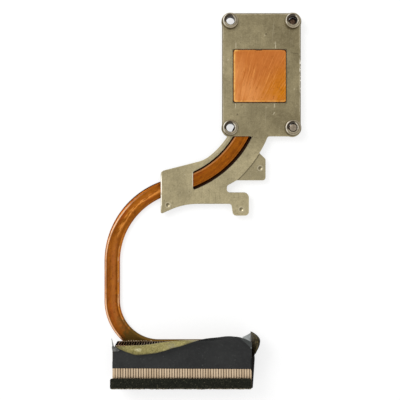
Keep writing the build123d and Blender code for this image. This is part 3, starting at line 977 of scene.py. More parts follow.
    def _metal(self, s: Surface, tone: Socket) -> Socket:
        """Lays the drawn bands, lines and blotches of the bare tube.

        Args:
            s: The pipe's surface.
            tone: Its cloudy tone.

        Returns:
            The height of the drawn relief.
        """
        bands = self._drawn(s, (16.0, 330.0), (0.4, 0.0), 2.0, 0.5)
        s.base(s.spread(bands, 0.4, 0.8, 0.0, 0.75), self.brown, self.bright)
        s.coat(self.deep, s.spread(tone, 0.6, 0.0, 0.0, 0.35))
        lines, line_tone = s.hairlines(s.place(s.point(s.x, s.y), (30.0, 3000.0, 1.0)), 0.58)
        s.coat(self.bright, lines, 0.22)
        s.coat(self.deep, s.patches(700.0, 0.58, 0.74, 0.0, 0.55, 4.0, 0.7))
        s.coat(self.red, s.spread(self._drawn(s, (70.0, 420.0), (0.9, 0.1)), 0.5, 0.7, 0.0, 0.55))
        blotch = self._drawn(s, (190.0, 330.0), (0.3, 0.7), 5.0, 0.68)
        s.coat(self.deep, s.spread(blotch, 0.48, 0.3, 0.0, 0.62))
        s.coat(self.glaze_and_sheen, s.spread(blotch, 0.55, 0.72, 0.0, 0.42))
        return s.plus(line_tone, s.both(bands, 0.8))

    def _edges(self, s: Surface, broken: Socket, jagged: Socket, in_slot: Socket) -> None:
        """Lays painted light along the pipe's side run and its two shoulders, and a painted shade line
        beside them.

        Args:
            s: The pipe's surface.
            broken: Mask that breaks the long lines of light.
            jagged: Mask of short ragged streaks.
            in_slot: Mask of the pipe in the arm's slot.
        """
        side = self._from_to(s, self.side_in, self.side_out)
        # Painted sheen on the side run, then painted highlight lines and glints along the shoulders.
        s.coat(self.pink_sheen, side, s.plus(*[s.near(s.y, *band, amount) for band, amount in self.sheens]))
        lit = s.most(s.spread(s.x, *self.outer_in), s.both(in_slot, 0.4))
        ridge = s.spread(s.x, *self.ridge_in, *self.ridge_place)
        s.coat(self.shine, s.near(s.less(s.y, ridge), *self.ridge_line), broken, lit)
        inner = s.both(s.near(s.y, *self.inner_line), broken)
        s.coat(self.orange_highlight, inner, s.spread(s.x, *self.inner_in, 0.22, 0.78))
        s.coat(self.spark, inner, s.spread(jagged, 0.3, 0.9), side, 0.4)
        # Painted shade: a dark line just inside each shoulder.
        s.coat(self.deep, s.near(s.size(s.y), *self.edge_shade_line, 0.35), s.spread(s.x, *self.edge_shade_in))

    def _bend(self, s: Surface, jagged: Socket) -> None:
        """Shades the bend past the arm, with a beam of light along its middle.

        Args:
            s: The pipe's surface.
            jagged: Mask of short ragged streaks.
        """
        in_bend = self._from_to(s, self.bend_in, self.bend_out)
        s.coat(self.deep, in_bend, s.spread(s.y, *self.bend_shade, 0.0, 0.42))
        s.coat(self.gold, in_bend, s.near(s.y, *self.beam), jagged)
        near_arm = self._from_to(s, self.outline_in, self.outline_out)
        s.coat(self.dusk, s.spread(s.y, *self.outline, 0.0, 0.95), near_arm)


@dataclass(frozen=True)
class FinFinish(Finish):
    """Thin folded sheet: each fin a little different, darker in the fold beside its web."""

    name: str = "folded_fin"
    light: Colour = (0.88, 0.69, 0.48)
    dark: Colour = (0.48, 0.345, 0.215)
    fold: Colour = (0.185, 0.12, 0.065)
    painted_shade: Colour = (0.012, 0.009, 0.006)
    pitch: float = 1.415 * MM
    left: float = -81.65 * MM
    rear_y: float = -173.05 * MM
    fan_y: float = -149.45 * MM
    from_mouth: Span = mm(0.1, 0.5)
    flange_level: Span = mm(7.75, 7.35)
    film_rear: Span = mm(-162.3, -161.3)
    striped_from: Span = (1.4, 2.4)
    covered_to: Span = (1.7, 1.3)
    relief: float = 0.008 * MM

    def paint(self, s: Surface) -> None:
        """Lays each fin's tone, its folds, and painted shade with some dust in the channels and on the first
        fin.

        Args:
            s: The fins' surface.
        """
        count = s.ratio(s.less(s.x, self.left), self.pitch)
        number, share = s.calc("FLOOR", count), s.calc("FRACT", count)
        jitter = s.add("ShaderNodeTexWhiteNoise", {"W": number}, noise_dimensions="1D").outputs["Value"]
        lines, line_tone = s.hairlines(s.place(s.where, (2600.0, 70.0, 400.0)), 0.55)
        tone = s.mottle(170.0, 0.4)
        s.base(s.plus(s.both(jitter, 0.45), s.both(tone, 0.35)), self.light, self.dark)
        s.coat(self.light, lines, 0.25)
        near_web = s.most(s.spread(share, 0.3, 0.08), s.spread(share, 0.92, 1.0))
        s.coat(self.fold, near_web, s.spread(count, *self.striped_from, 0.1, 0.72))
        # Painted shade with some dust inside the channels below the flanges, and on the fan side of the
        # first fin.
        from_ends = s.calc("MINIMUM", s.less(self.fan_y, s.y), s.less(s.y, self.rear_y))
        inside = s.both(s.spread(from_ends, *self.from_mouth), s.spread(s.z, *self.flange_level))
        s.coat(self.painted_shade, inside, 0.85)
        s.coat(self.painted_shade, s.spread(count, *self.covered_to), s.spread(s.y, *self.film_rear), 0.9)
        s.finish(s.spread(tone, 0.0, 1.0, 0.34, 0.5), line_tone, self.relief)


@dataclass(frozen=True)
class FilmFinish(Finish):
    """Black polyester film with a satin face, faint rubs and soft waves."""

    name: str = "black_film"
    metallic: float = 0.0
    specular: float = 0.32
    black: Colour = (0.01, 0.0105, 0.0105)
    rubbed: Colour = (0.056, 0.058, 0.056)
    facet: Colour = (0.056, 0.062, 0.059)
    painted_shade: Colour = (0.005, 0.0035, 0.003)
    glint: Colour = (0.3, 0.31, 0.3)
    glint_place: Lengths = mm(-5.45, -150.7)
    glint_reach: Span = mm(0.75, 0.1)
    corner: Lengths = mm(-10.8, -146.15)
    crease: Tuple[float, float] = (0.673, 0.739)
    fold_y: Span = mm(-154.15, -150.15)
    fold_line: Band = mm(-0.7, 0.2, 0.9)
    fold_edge: Span = mm(-0.1, 0.3)
    wall_x: Span = mm(-5.4, -4.9)
    relief: float = 0.006 * MM

    def paint(self, s: Surface) -> None:
        """Lays the rubs, the creased corner with its painted shadow and painted reflection, a painted glint,
        and painted shade on the end wall.

        Args:
            s: The film's surface.
        """
        tone = s.mottle(80.0, 0.4)
        lines, _ = s.hairlines(s.place(s.where, (90.0, 1500.0, 300.0), 0.35), 0.7)
        s.base(s.both(tone, 0.32), self.black, self.rubbed)
        s.coat(self.rubbed, lines, 0.45)
        s.coat(self.rubbed, s.specks(s.where, 560.0, 0.24), 0.7)
        # Painted shadow along the crease, and painted reflection on the tilted part beyond it.
        from_x, from_y = s.offset(self.corner)
        beyond = s.plus(s.both(from_x, self.crease[0]), s.both(from_y, self.crease[1]))
        s.coat(self.black, s.near(beyond, *self.fold_line, 0.8), s.spread(s.y, *self.fold_y))
        s.coat(self.facet, s.spread(beyond, *self.fold_edge, 0.0, 0.85))
        from_glint = s.distance(*s.offset(self.glint_place))
        s.coat(self.glint, s.spread(from_glint, *self.glint_reach, 0.0, 0.7))
        s.coat(self.rubbed, s.patches(700.0, 0.52, 0.8, 0.0, 0.55, 4.0, 0.7))
        # Painted shade on the end wall.
        s.coat(self.painted_shade, s.spread(s.x, *self.wall_x), 0.85)
        s.finish(s.spread(tone, 0.0, 1.0, 0.38, 0.52), s.cloud(s.where, 1900.0, 3.0, 0.6), self.relief)


@dataclass(frozen=True)
class AdhesiveFinish(Finish):
    """Underside of the film: a speckled coat of old adhesive over the black."""

    name: str
    coat: Colour
    pale: Colour
    bare_and_shade: Colour
    bare_from: float
    metallic: float = 0.0
    specular: float = 0.42
    gleam: Colour = (0.93, 0.88, 0.54)
    glow: Lengths = mm(-67.4, -151.5)
    highlight_reach: Lengths = mm(2.6, 1.35)
    fleck: float = 0.4
    edge_y: float = -154.4 * MM
    edge_fade: float = 1.3 * MM
    end_x: Span = mm(-74.1, -79.6)
    rim_width: float = 0.9 * MM
    rim_waver: float = 0.5 * MM
    grain: float = 260.0
    relief: float = 0.025 * MM

    def paint(self, s: Surface) -> None:
        """Lays the adhesive's specks and the patches where the black shows, painted shade and a darker rim
        towards its edges, and one painted highlight.

        Args:
            s: The underside's surface.
        """
        tone = s.mottle(self.grain, 0.6)
        speck = s.specks(s.where, 1500.0, 0.8)
        s.base(s.both(tone, 0.5), self.coat, self.pale)
        s.coat(self.pale, speck, self.fleck)
        s.coat(self.bare_and_shade, s.patches(900.0, self.bare_from, self.bare_from + 0.16, 0.0, 1.0, 4.0, 0.65), 0.7)
        # Painted shade towards the lip's free edge and its left end, and a darker rim along the free edge.
        shaded = s.most(
            s.spread(s.y, self.edge_y + self.edge_fade, self.edge_y, 0.0, 0.75),
            s.spread(s.x, *self.end_x, 0.0, 0.8),
        )
        uneven = s.plus(s.attribute(SheetMesh.TO_RIM), s.both(s.less(tone, 0.5), self.rim_waver))
        s.coat(self.bare_and_shade, s.most(shaded, s.spread(uneven, self.rim_width, 0.15 * self.rim_width, 0.0, 0.75)))
        # Painted highlight: a pale spot where the curled lip catches the light.
        shares = [s.ratio(apart, reach) for apart, reach in zip(s.offset(self.glow), self.highlight_reach)]
        glow = s.spread(s.distance(*shares), 1.0, 0.1, 0.0, 0.9)
        s.coat(self.gleam, glow, s.spread(tone, 0.2, 0.8, 0.35, 1.0))
        s.finish(s.spread(tone, 0.0, 1.0, 0.3, 0.55), s.plus(tone, speck), self.relief)


@dataclass(frozen=True)
class FoamFinish(Finish):
    """Open-cell black foam with paler dusty flecks."""

    name: str = "cell_foam"
    metallic: float = 0.0
    specular: float = 0.12
    black: Colour = (0.0075, 0.008, 0.0058)
    grey: Colour = (0.036, 0.04, 0.026)
    dust: Colour = (0.13, 0.118, 0.078)
    beige: Colour = (0.52, 0.45, 0.31)
    cell_scale: float = 2300.0
    fringe_y: Span = mm(-172.15, -172.65)
    fringe_z: Band = mm(9.3, 0.25, 0.7)
    relief: float = 0.15 * MM

    def paint(self, s: Surface) -> None:
        """Lays the cells, the dust and the beige fringe along the outer edge.

        Args:
            s: The foam's surface.
        """
        inputs = {"Vector": s.where, "Scale": self.cell_scale}
        cells = s.add("ShaderNodeTexVoronoi", inputs).outputs["Distance"]
        tone = s.mottle(520.0, 0.6)
        s.base(s.both(s.spread(cells, 0.15, 0.75), tone), self.black, self.grey)
        s.coat(self.dust, s.specks(s.where, 1250.0, 0.46), s.spread(tone, 0.2, 0.7, 0.1, 0.6))
        fringe = s.both(s.spread(s.y, *self.fringe_y, 0.0, 0.95), s.near(s.z, *self.fringe_z))
        s.coat(self.beige, fringe, s.patches(1700.0, 0.42, 0.6))
        s.finish(s.spread(tone, 0.0, 1.0, 0.85, 1.0), cells, self.relief)


@dataclass(frozen=True)
class LintFinish(Finish):
    """Loose fibres along the foam, from nearly black to dusty beige."""

    name: str = "foam_lint"
    metallic: float = 0.0
    specular: float = 0.15
    black: Colour = (0.01, 0.011, 0.008)
    dust: Colour = (0.3, 0.255, 0.175)
    fringe_y: Span = mm(-172.2, -172.7)

    def paint(self, s: Surface) -> None:
        """Lays the dust, most of it along the outer edge.

        Args:
            s: The fibres' surface.
        """
        tone = s.mottle(900.0, 0.5)
        fringe = s.spread(s.y, *self.fringe_y)
        dusty = s.calc("MULTIPLY", tone, s.plus(s.calc("POWER", tone, 2.0), fringe), clamp=True)
        s.base(dusty, self.black, self.dust)
        s.finish(s.spread(tone, 0.0, 1.0, 0.8, 1.0), tone, self.relief)


@dataclass(frozen=True)
class CloudyFinish(Finish):
    """A plain cloudy finish, as of solder, flux, old screws, pale film and dark strips of painted shade."""

    name: str
    light: Colour
    dark: Colour
    metallic: float = 1.0
    specular: float = 0.1
    scale: float = 900.0
    gloss: Tuple[float, float] = (0.55, 0.34)
    relief: float = 0.03 * MM

    def paint(self, s: Surface) -> None:
        """Lays clouds of the light tone over the dark one."""
        tone = s.mottle(self.scale, 0.4)
        s.base(tone, self.dark, self.light)
        s.finish(s.spread(tone, 0.0, 1.0, *self.gloss), tone, self.relief)


def folded_film(name: str, light: Colour, dark: Colour) -> CloudyFinish:
    """Gives the finish of pale or scuffed film at a hard fold."""
    return CloudyFinish(name, light, dark, 0.0, 0.5, 420.0, (0.25, 0.4), 0.02 * MM)


def clothe(node: str, material: Material) -> None:
    """Gives a CAD node its finish.

    Args:
        node: The node's name.
        material: The finish.
    """
    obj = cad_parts[node]
    obj.data.materials.clear()
    obj.data.materials.append(material)
    LOG.info("finish %s on %s", material.name, node)


def settle(piece: Object) -> Object:
    """Puts a new piece on the object's body.

    Args:
        piece: The piece.

    Returns:
        The piece.
    """
    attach(piece, BODY)
    LOG.info("piece %s with %d faces", piece.name, len(piece.data.polygons))
    return piece


def scene_object(name: str, data: ID) -> Object:
    """Links a mesh, a curve, a lamp or a camera into the scene as an object at the origin."""
    obj = bpy.data.objects.new(name, data)
    bpy.context.scene.collection.objects.link(obj)
    return obj


class NodeModifier:
    """A Geometry Nodes tree under construction, with the values of its inputs."""

    KINDS = (
        (int, "NodeSocketInt"),
        (float, "NodeSocketFloat"),
        (tuple, "NodeSocketVector"),
        (Object, "NodeSocketObject"),
        (Material, "NodeSocketMaterial"),
    )

    def __init__(self, name: str, values: Mapping[str, Any]) -> None:
        """Starts a tree with an input for each value, besides the geometry.

        Args:
            name: The tree's name.
            values: Input values by name, the material among them.
        """
        self.group = bpy.data.node_groups.new(name, "GeometryNodeTree")
        self.group.interface.new_socket("Geometry", in_out="INPUT", socket_type="NodeSocketGeometry")
        self.values = {}
        for socket, value in values.items():
            kind = next(kind for known, kind in self.KINDS if isinstance(value, known))
            made = self.group.interface.new_socket(socket, in_out="INPUT", socket_type=kind)
            self.values[made.identifier] = value
        self.group.interface.new_socket("Geometry", in_out="OUTPUT", socket_type="NodeSocketGeometry")
        self.tree = Tree(self.group)
        self.given = self.tree.add("NodeGroupInput").outputs

    def step(self, kind: str, inputs: Mapping[Union[str, int], Value], **settings: Any) -> Socket:
        """Adds a node and gives its first output."""
        return self.tree.add(kind, inputs, **settings).outputs[0]

    def run(
        self, geometry: Socket, name: str, carrier: Optional[Object] = None
    ) -> Object:
        """Ends the tree with instances made real and one material set, and evaluates it.

        Args:
            geometry: What the tree has made.
            name: Name of the new piece.
            carrier: Object whose geometry goes in, for a tree that takes any.

        Returns:
            The piece with a plain mesh. The carrier is left without the modifier.
        """
        real = self.step("GeometryNodeRealizeInstances", {0: geometry})
        smooth = self.step("GeometryNodeSetShadeSmooth", {0: real})
        inputs = {"Geometry": smooth, "Material": self.given["Material"]}
        self.tree.add("NodeGroupOutput", {0: self.step("GeometryNodeSetMaterial", inputs)})
        holder = carrier or scene_object("carrier", bpy.data.meshes.new("carrier"))
        modifier = holder.modifiers.new(self.group.name, "NODES")
        modifier.node_group = self.group
        for identifier, value in self.values.items():
            modifier[identifier] = value
        graph = bpy.context.evaluated_depsgraph_get()
        mesh = bpy.data.meshes.new_from_object(holder.evaluated_get(graph), depsgraph=graph)
        holder.modifiers.remove(modifier)
        if carrier is None:
            bpy.data.objects.remove(holder)
        mesh.name = name
        return scene_object(name, mesh)


@dataclass
class MountingPlate:
    """The cast plate with its bushes and processor pad."""

    plate: PlateFinish = PlateFinish()
    bush: BushFinish = BushFinish()
    pad: PadFinish = PadFinish()
    # Dark finish of the seam that stands for the shade in the gap round the pad.
    seam: CloudyFinish = CloudyFinish("pad_gap_shade", (0.07, 0.022, 0.008), (0.02, 0.007, 0.003), 0.0)
    seam_middle: float = 29.8 * MM
    seam_corner: float = 0.95 * MM
    seam_corner_steps: int = 8
    seam_width: float = 0.26 * MM
    seam_depth: float = 0.6 * MM
    seam_level: float = -1.15 * MM

    def dress(self) -> None:
        """Gives the plate's solids their finishes."""
        clothe("base_plate", self.plate.build())
        clothe("mounting_bushes", self.bush.build())
        clothe("cpu_pad", self.pad.build())

    def build(self) -> Object:
        """Makes the dark seam that runs round the pad in its window: painted shade in the gap, coloured as
        flux.

        Returns:
            The seam.
        """
        values = {
            "Side": self.seam_middle,
            "Corner": self.seam_corner,
            "Width": self.seam_width,
            "Depth": self.seam_depth,
            "Level": self.seam_level,
            "Material": self.seam.build(),
        }
        made = NodeModifier("pad_seam", values)
        given, rectangle = made.given, "GeometryNodeCurvePrimitiveQuadrilateral"
        square = made.step(rectangle, {"Width": given["Side"], "Height": given["Side"]})
        inputs = {"Curve": square, "Radius": given["Corner"], "Count": self.seam_corner_steps}
        rounded = made.step("GeometryNodeFilletCurve", inputs, mode="POLY")
        upright = made.step("GeometryNodeSetCurveNormal", {0: rounded}, mode="Z_UP")
        section = made.step(rectangle, {"Width": given["Width"], "Height": given["Depth"]})
        swept = made.step("GeometryNodeCurveToMesh", {"Curve": upright, "Profile Curve": section})
        lift = made.step("ShaderNodeCombineXYZ", {2: given["Level"]})
        placed = made.step("GeometryNodeSetPosition", {"Geometry": swept, "Offset": lift})
        return settle(made.run(placed, "pad_seam"))


@dataclass
class RetainedScrews:
    """The two screws left in the right-hand bushes, one deep in its bore and one nearly flush."""

    core_radius: float = 2.06 * MM
    crest_radius: float = 2.22 * MM
    end_share: float = 0.4
    thread_pitch: float = 0.5 * MM
    point: float = 0.06 * MM
    low: float = -1.9 * MM
    highs: Lengths = mm(-0.9, 1.45)
    play: Lengths = mm(0.09, -0.05)
    segments: int = 40
    seats: BushSeats = BushSeats()
    # The deep screw's finish is a darker copy, painted shade for its place in the bore.
    finishes: Tuple[CloudyFinish, ...] = (
        CloudyFinish("shaded_screw", (0.19, 0.118, 0.078), (0.075, 0.045, 0.028)),
        CloudyFinish("dulled_screw", (0.4, 0.335, 0.255), (0.19, 0.148, 0.105)),
    )

    def _profile(self, high: float) -> Sequence[Tuple[float, float]]:
        """Gives one screw's half section from its upper end down to its lower end.

        Args:
            high: Level of its upper end.

        Returns:
            Radius and level of each ring.
        """
        end = self.end_share * self.core_radius
        rings = [(end, high), (self.core_radius - self.point, high)]
        level = high - self.point
        while level > self.low + self.thread_pitch:
            rings += [(self.core_radius, level), (self.crest_radius, level - self.thread_pitch / 2)]
            level -= self.thread_pitch
        rings += [(self.core_radius, level), (self.core_radius, self.low), (end, self.low)]
        return rings

    def build(self) -> Object:
        """Makes both screws as one piece.

        Returns:
            The screws.
        """
        made = bmesh.new()
        turns = [2 * math.pi * number / self.segments for number in range(self.segments)]
        x = self.seats.middle[0] + self.seats.spacing[0] / 2 + self.play[0]
        for screw, (side, high) in enumerate(zip((0.5, -0.5), self.highs)):
            y = self.seats.middle[1] + side * self.seats.spacing[1] + self.play[1]
            loops = []
            for radius, level in self._profile(high):
                ring = [(x + radius * math.cos(turn), y + radius * math.sin(turn), level) for turn in turns]
                loops.append([made.verts.new(place) for place in ring])
            for upper, lower in zip(loops, loops[1:]):
                for number in range(self.segments):
                    after = (number + 1) % self.segments
                    face = made.faces.new((upper[number], lower[number], lower[after], upper[after]))
                    face.smooth = True
                    face.material_index = screw
            for end in (loops[0], loops[-1][::-1]):
                made.faces.new(end).material_index = screw
        mesh = bpy.data.meshes.new("retained_screws")
        made.to_mesh(mesh)
        made.free()
        for finish in self.finishes:
            mesh.materials.append(finish.build())
        return settle(scene_object("retained_screws", mesh))


@dataclass
class HeatPipe:
    """The flat pipe: straight runs and bends, swept with a softly crowned section."""

    width: float = 8.79 * MM
    height: float = 2.5 * MM
    tip_length: float = 4.0 * MM
    tip_share: float = 0.52
    pad_run_x: float = -3.7 * MM
    pad_run_end_y: float = 17.0 * MM
    arm_bend_start_y: float = -8.0 * MM
    arm_bend_radius: float = 54.2 * MM
    arm_bend_angle: float = 75.0
    arm_run: float = 7.3 * MM
    side_bend_radius: float = 43.8 * MM
    side_run: float = 22.1 * MM
    fin_bend_radius: float = 26.5 * MM
    fin_run: float = 46.0 * MM
    tip_steps: int = 6
    pad_steps: int = 10
    arm_steps: int = 6
    side_steps: int = 10
    fin_steps: int = 18
    arc_step: float = 1.5
    side_roundness: float = 7.0
    side_crowding: float = 0.6
    crown: float = 0.05 * MM
    profile_points: int = 56
    seams: Lengths = mm(2.6, 1.7)
    seam_laps: Lengths = mm(0.4, 0.1)
    seam_levels: Lengths = (-0.5, -1.0, -0.6, 0.4)
    seam_clearance: float = 0.05 * MM
    seam_tip_length: float = 1.0 * MM
    finish: PipeFinish = PipeFinish()
    # Dark finish of the strips that stand for the shade in the slot's gaps.
    flux: CloudyFinish = CloudyFinish("slot_gap_shade", (0.03, 0.009, 0.003), (0.012, 0.004, 0.002), 0.0, 0.03)

    ALONG = "pipe_along"
    ACROSS = "pipe_across"

    def route(self) -> np.ndarray:
        """Gives the centreline, tips included, as points in the plan.

        Returns:
            An array of x and y, one row for each point.
        """
        points = [np.array((self.pad_run_x, self.pad_run_end_y + self.tip_length))]
        heading = -90.0

        def way(angle: float) -> np.ndarray:
            """Gives a direction in the plan from its angle in radians."""
            return np.array((math.cos(angle), math.sin(angle)))

        def run(length: float, count: int) -> None:
            """Adds a straight run in the present heading."""
            for _ in range(count):
                points.append(points[-1] + way(math.radians(heading)) * length / count)

        def bend(radius: float, angle: float) -> float:
            """Adds a bend, positive to the left, and gives the new heading.

            Args:
                radius: Radius of the bend.
                angle: Its angle in degrees.

            Returns:
                The new heading.
            """
            to_centre = math.radians(heading + math.copysign(90.0, angle))
            centre = points[-1] + radius * way(to_centre)
            count = int(abs(angle) / self.arc_step)
            for number in range(1, count + 1):
                turned = math.radians(angle * number / count)
                points.append(centre + radius * way(to_centre + math.pi + turned))
            return heading + angle

        run(self.tip_length, self.tip_steps)
        run(self.pad_run_end_y - self.arm_bend_start_y, self.pad_steps)
        heading = bend(self.arm_bend_radius, -self.arm_bend_angle)
        run(self.arm_run, self.arm_steps)
        heading = bend(self.side_bend_radius, self.arm_bend_angle)
        run(self.side_run, self.side_steps)
        heading = bend(self.fin_bend_radius, 90.0)
        run(self.fin_run, self.fin_steps)
        run(self.tip_length, self.tip_steps)
        return np.array(points)

    def profile(self) -> np.ndarray:
        """Gives the section as points around it, flat above and below and round at the sides.

        Returns:
            An array of across and up, one row for each point.
        """
        points = []
        for number in range(self.profile_points):
            turn = 2 * math.pi * number / self.profile_points
            share = math.copysign(abs(math.cos(turn)) ** self.side_crowding, math.cos(turn))
            body = (1 - abs(share) ** self.side_roundness) ** 0.5
            up = (self.height / 2 - self.crown * share**2) * body
            points.append((share * self.width / 2, math.copysign(up, math.sin(turn))))
        return np.array(points)

    @staticmethod
    def _curve(name: str, lines: Sequence[np.ndarray], cyclic: bool) -> Object:
        """Makes a curve of straight pieces through the points of each line.

        Args:
            name: The curve's name.
            lines: Points of each line, with three coordinates in each row.
            cyclic: Whether each line closes on itself.

        Returns:
            The curve object.
        """
        curve = bpy.data.curves.new(name, "CURVE")
        curve.dimensions = "3D"
        for line in lines:
            spline = curve.splines.new("POLY")
            spline.points.add(len(line) - 1)
            for point, place in zip(spline.points, line):
                point.co = (*place, 1.0)
            spline.use_cyclic_u = cyclic
        return scene_object(name, curve)

    def _sweep(
        self, name: str, plan: np.ndarray, rings: Sequence[np.ndarray],
        tip: Tuple[float, float], finish: Material,
    ) -> Object:
        """Sweeps closed lines along a route at the pipe's level, with both ends drawn in.

        Args:
            name: Name of the new piece.
            plan: The route's points in the plan.
            rings: The section's closed lines, as points of across and up.
            tip: Length of each drawn end, and the share of the section that is left there.
            finish: The piece's material.

        Returns:
            The piece, with the place along and across the pipe marked on every point.
        """
        low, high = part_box("heat_pipe")
        level = np.full(len(plan), (low.z + high.z) / 2)
        route = self._curve("route", [np.column_stack((plan, level))], False)
        lines = [np.column_stack((ring, np.zeros(len(ring)))) for ring in rings]
        section = self._curve("section", lines, True)
        values = {"Section": section, "Tip Length": tip[0], "Tip Share": tip[1], "Material": finish}
        made = NodeModifier(f"{name}_sweep", values)
        tree, given = made.tree, made.given

        def mark(geometry: Socket, attribute: str, value: Socket) -> Socket:
            """Marks a value on every point of a curve."""
            inputs = {"Geometry": geometry, "Name": attribute, "Value": value}
            return made.step("GeometryNodeStoreNamedAttribute", inputs, data_type="FLOAT", domain="POINT")

        along = tree.add("GeometryNodeSplineParameter").outputs["Length"]
        whole = tree.add("GeometryNodeSplineLength").outputs["Length"]
        to_end = tree.calc("MINIMUM", along, tree.less(whole, along))
        inputs = {"Value": to_end, 1: 0.0, 2: given["Tip Length"], 3: given["Tip Share"], 4: 1.0}
        scale = made.step("ShaderNodeMapRange", inputs)
        upright = made.step("GeometryNodeSetCurveNormal", {0: given["Geometry"]}, mode="Z_UP")
        shape = tree.add("GeometryNodeObjectInfo", {0: given["Section"]}).outputs["Geometry"]
        beside = tree.parts(made.step("GeometryNodeInputPosition", {}))[0]
        swept = {
            "Curve": mark(upright, self.ALONG, along),
            "Profile Curve": mark(shape, self.ACROSS, beside),
            "Scale": scale,
            "Fill Caps": True,
        }
        piece = made.run(made.step("GeometryNodeCurveToMesh", swept), name, route)
        for spare in (route, section):
            bpy.data.objects.remove(spare)
        return piece

    def build(self) -> Object:
        """Makes the pipe in the place of its plain solid.

        Returns:
            The pipe.
        """
        tip = (self.tip_length, self.tip_share)
        pipe = self._sweep("heat_pipe_drawn", self.route(), [self.profile()], tip, self.finish.build())
        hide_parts("heat_pipe")
        return settle(pipe)

    def solder(self) -> Object:
        """Makes the dark strips between the pipe's two sides and the back of the arm: painted shade in the
        slot's gaps, coloured as solder.

        Returns:
            The seams as one piece.
        """
        start = self.tip_steps + self.pad_steps
        bend = self.route()[start:start + int(self.arm_bend_angle / self.arc_step) + 1]
        half, back = self.width / 2, self.height / 2 - self.seam_clearance
        rings = []
        for side, reach in zip((-1.0, 1.0), self.seams):
            places = (half - self.seam_laps[0], half + reach, half + reach, half - self.seam_laps[1])
            corners = zip(places, self.seam_levels)
            rings.append(np.array([(side * across, up * back) for across, up in corners]))
        tip = (self.seam_tip_length, 1.0)
        return settle(self._sweep("slot_solder", bend, rings, tip, self.flux.build()))


@dataclass
class FinStack:
    """The folded fins and the solder that holds them to the pipe."""

    count: int = 54
    pitch: float = 1.415 * MM
    first_soldered: int = 6
    last_soldered: int = 16
    bead_radius: float = 0.32 * MM
    bead_offset: float = 0.1 * MM
    bead_least: Triple = (0.9, 0.55, 0.35)
    bead_most: Triple = (1.9, 1.15, 0.85)
    bead_steps: int = 3
    seed: int = 11
    finish: FinFinish = FinFinish()
    solder: CloudyFinish = CloudyFinish("solder", (0.56, 0.47, 0.33), (0.21, 0.155, 0.07))

    def dress(self) -> None:
        """Gives every fin its finish."""
        material = self.finish.build()
        for number in range(1, self.count + 1):
            clothe(f"fin_{number:02d}", material)

    def build(self) -> Object:
        """Makes the row of solder beads along the fan side.

        Returns:
            The beads.
        """
        low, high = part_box(f"fin_{self.first_soldered:02d}")
        values = {
            "Count": self.last_soldered - self.first_soldered,
            "Start": ((low.x + high.x) / 2, high.y + self.bead_offset, low.z),
            "Step": (self.pitch, 0.0, 0.0),
            "Radius": self.bead_radius,
            "Seed": self.seed,
            "Material": self.solder.build(),
        }
        made = NodeModifier("solder_row", values)
        given = made.given
        line = {"Count": given["Count"], "Start Location": given["Start"], "Offset": given["Step"]}
        row = made.step("GeometryNodeMeshLine", line)
        ball = {"Radius": given["Radius"], "Subdivisions": self.bead_steps}
        bead = made.step("GeometryNodeMeshIcoSphere", ball)
        sizes = {0: self.bead_least, 1: self.bead_most, "Seed": given["Seed"]}
        size = made.step("FunctionNodeRandomValue", sizes, data_type="FLOAT_VECTOR")
        inputs = {"Points": row, "Instance": bead, "Scale": size}
        beads = made.step("GeometryNodeInstanceOnPoints", inputs)
        return settle(made.run(beads, "fin_solder"))


class SheetMesh:
    """Collects thin sheets, each given as a grid of points on its middle surface."""

    TO_RIM = "to_rim"
    LEAST_LENGTH = 1e-12
    MERGE_DISTANCE = 1e-7

    def __init__(self, thickness: float) -> None:
        """Starts an empty mesh for sheets of one thickness."""
        self.thickness = thickness
        self.mesh = bmesh.new()
        self.to_rim = self.mesh.verts.layers.float.new(self.TO_RIM)

    def add(self, grid: np.ndarray, outer: Skin, inner: Skin, rim: float = 1.0) -> None:
        """Adds a sheet with both faces and a rim.

        Args:
            grid: Points in rows and columns, so that rows crossed with columns give the outer side.
            outer: Material of the outer face and the rim.
            inner: Material of the inner face.
            rim: Added to the distance from the last column, which is marked on every point.
        """
        apart = np.linalg.norm(grid - grid[:, -1:], axis=2) + rim
        normal = np.cross(np.gradient(grid, axis=0), np.gradient(grid, axis=1))
        normal /= np.maximum(np.linalg.norm(normal, axis=2, keepdims=True), self.LEAST_LENGTH)
        sides = []
        for sign in (0.5, -0.5):
            points = grid + normal * self.thickness * sign
            sides.append([[self.mesh.verts.new(point) for point in row] for row in points])
            for row, lengths in zip(sides[-1], apart):
                for vert, length in zip(row, lengths):
                    vert[self.to_rim] = length
        top, under = sides
        rows, columns = grid.shape[:2]
        for row in range(rows - 1):
            for column in range(columns - 1):
                corners = ((row, column), (row + 1, column), (row + 1, column + 1), (row, column + 1))
                self._face([top[r][c] for r, c in corners], outer)
                self._face([under[r][c] for r, c in reversed(corners)], inner)
        around = [(row, 0) for row in range(rows)]
        around += [(rows - 1, column) for column in range(1, columns)]
        around += [(row, columns - 1) for row in range(rows - 2, -1, -1)]
        around += [(0, column) for column in range(columns - 2, 0, -1)]
        for (r0, c0), (r1, c1) in zip(around, around[1:] + around[:1]):
            self._face([top[r0][c0], under[r0][c0], under[r1][c1], top[r1][c1]], outer)

    def _face(self, corners: Sequence[bmesh.types.BMVert], skin: Skin) -> None:
        """Adds one face with its material."""
        face = self.mesh.faces.new(corners)
        face.material_index = skin.value
        face.smooth = True

    def done(self, name: str) -> Mesh:
        """Gives the finished mesh, its touching points joined.

        Args:
            name: Name of the mesh.

        Returns:
            The mesh.
        """
        bmesh.ops.remove_doubles(self.mesh, verts=self.mesh.verts, dist=self.MERGE_DISTANCE)
        mesh = bpy.data.meshes.new(name)
        self.mesh.to_mesh(mesh)
        self.mesh.free()
        return mesh


class FilmStation(NamedTuple):
    """Shape of the film's fan-side lip at one place along the stack, in millimetres and degrees."""

    place: float
    reach: float
    radius: float
    angle: float
    tail: float


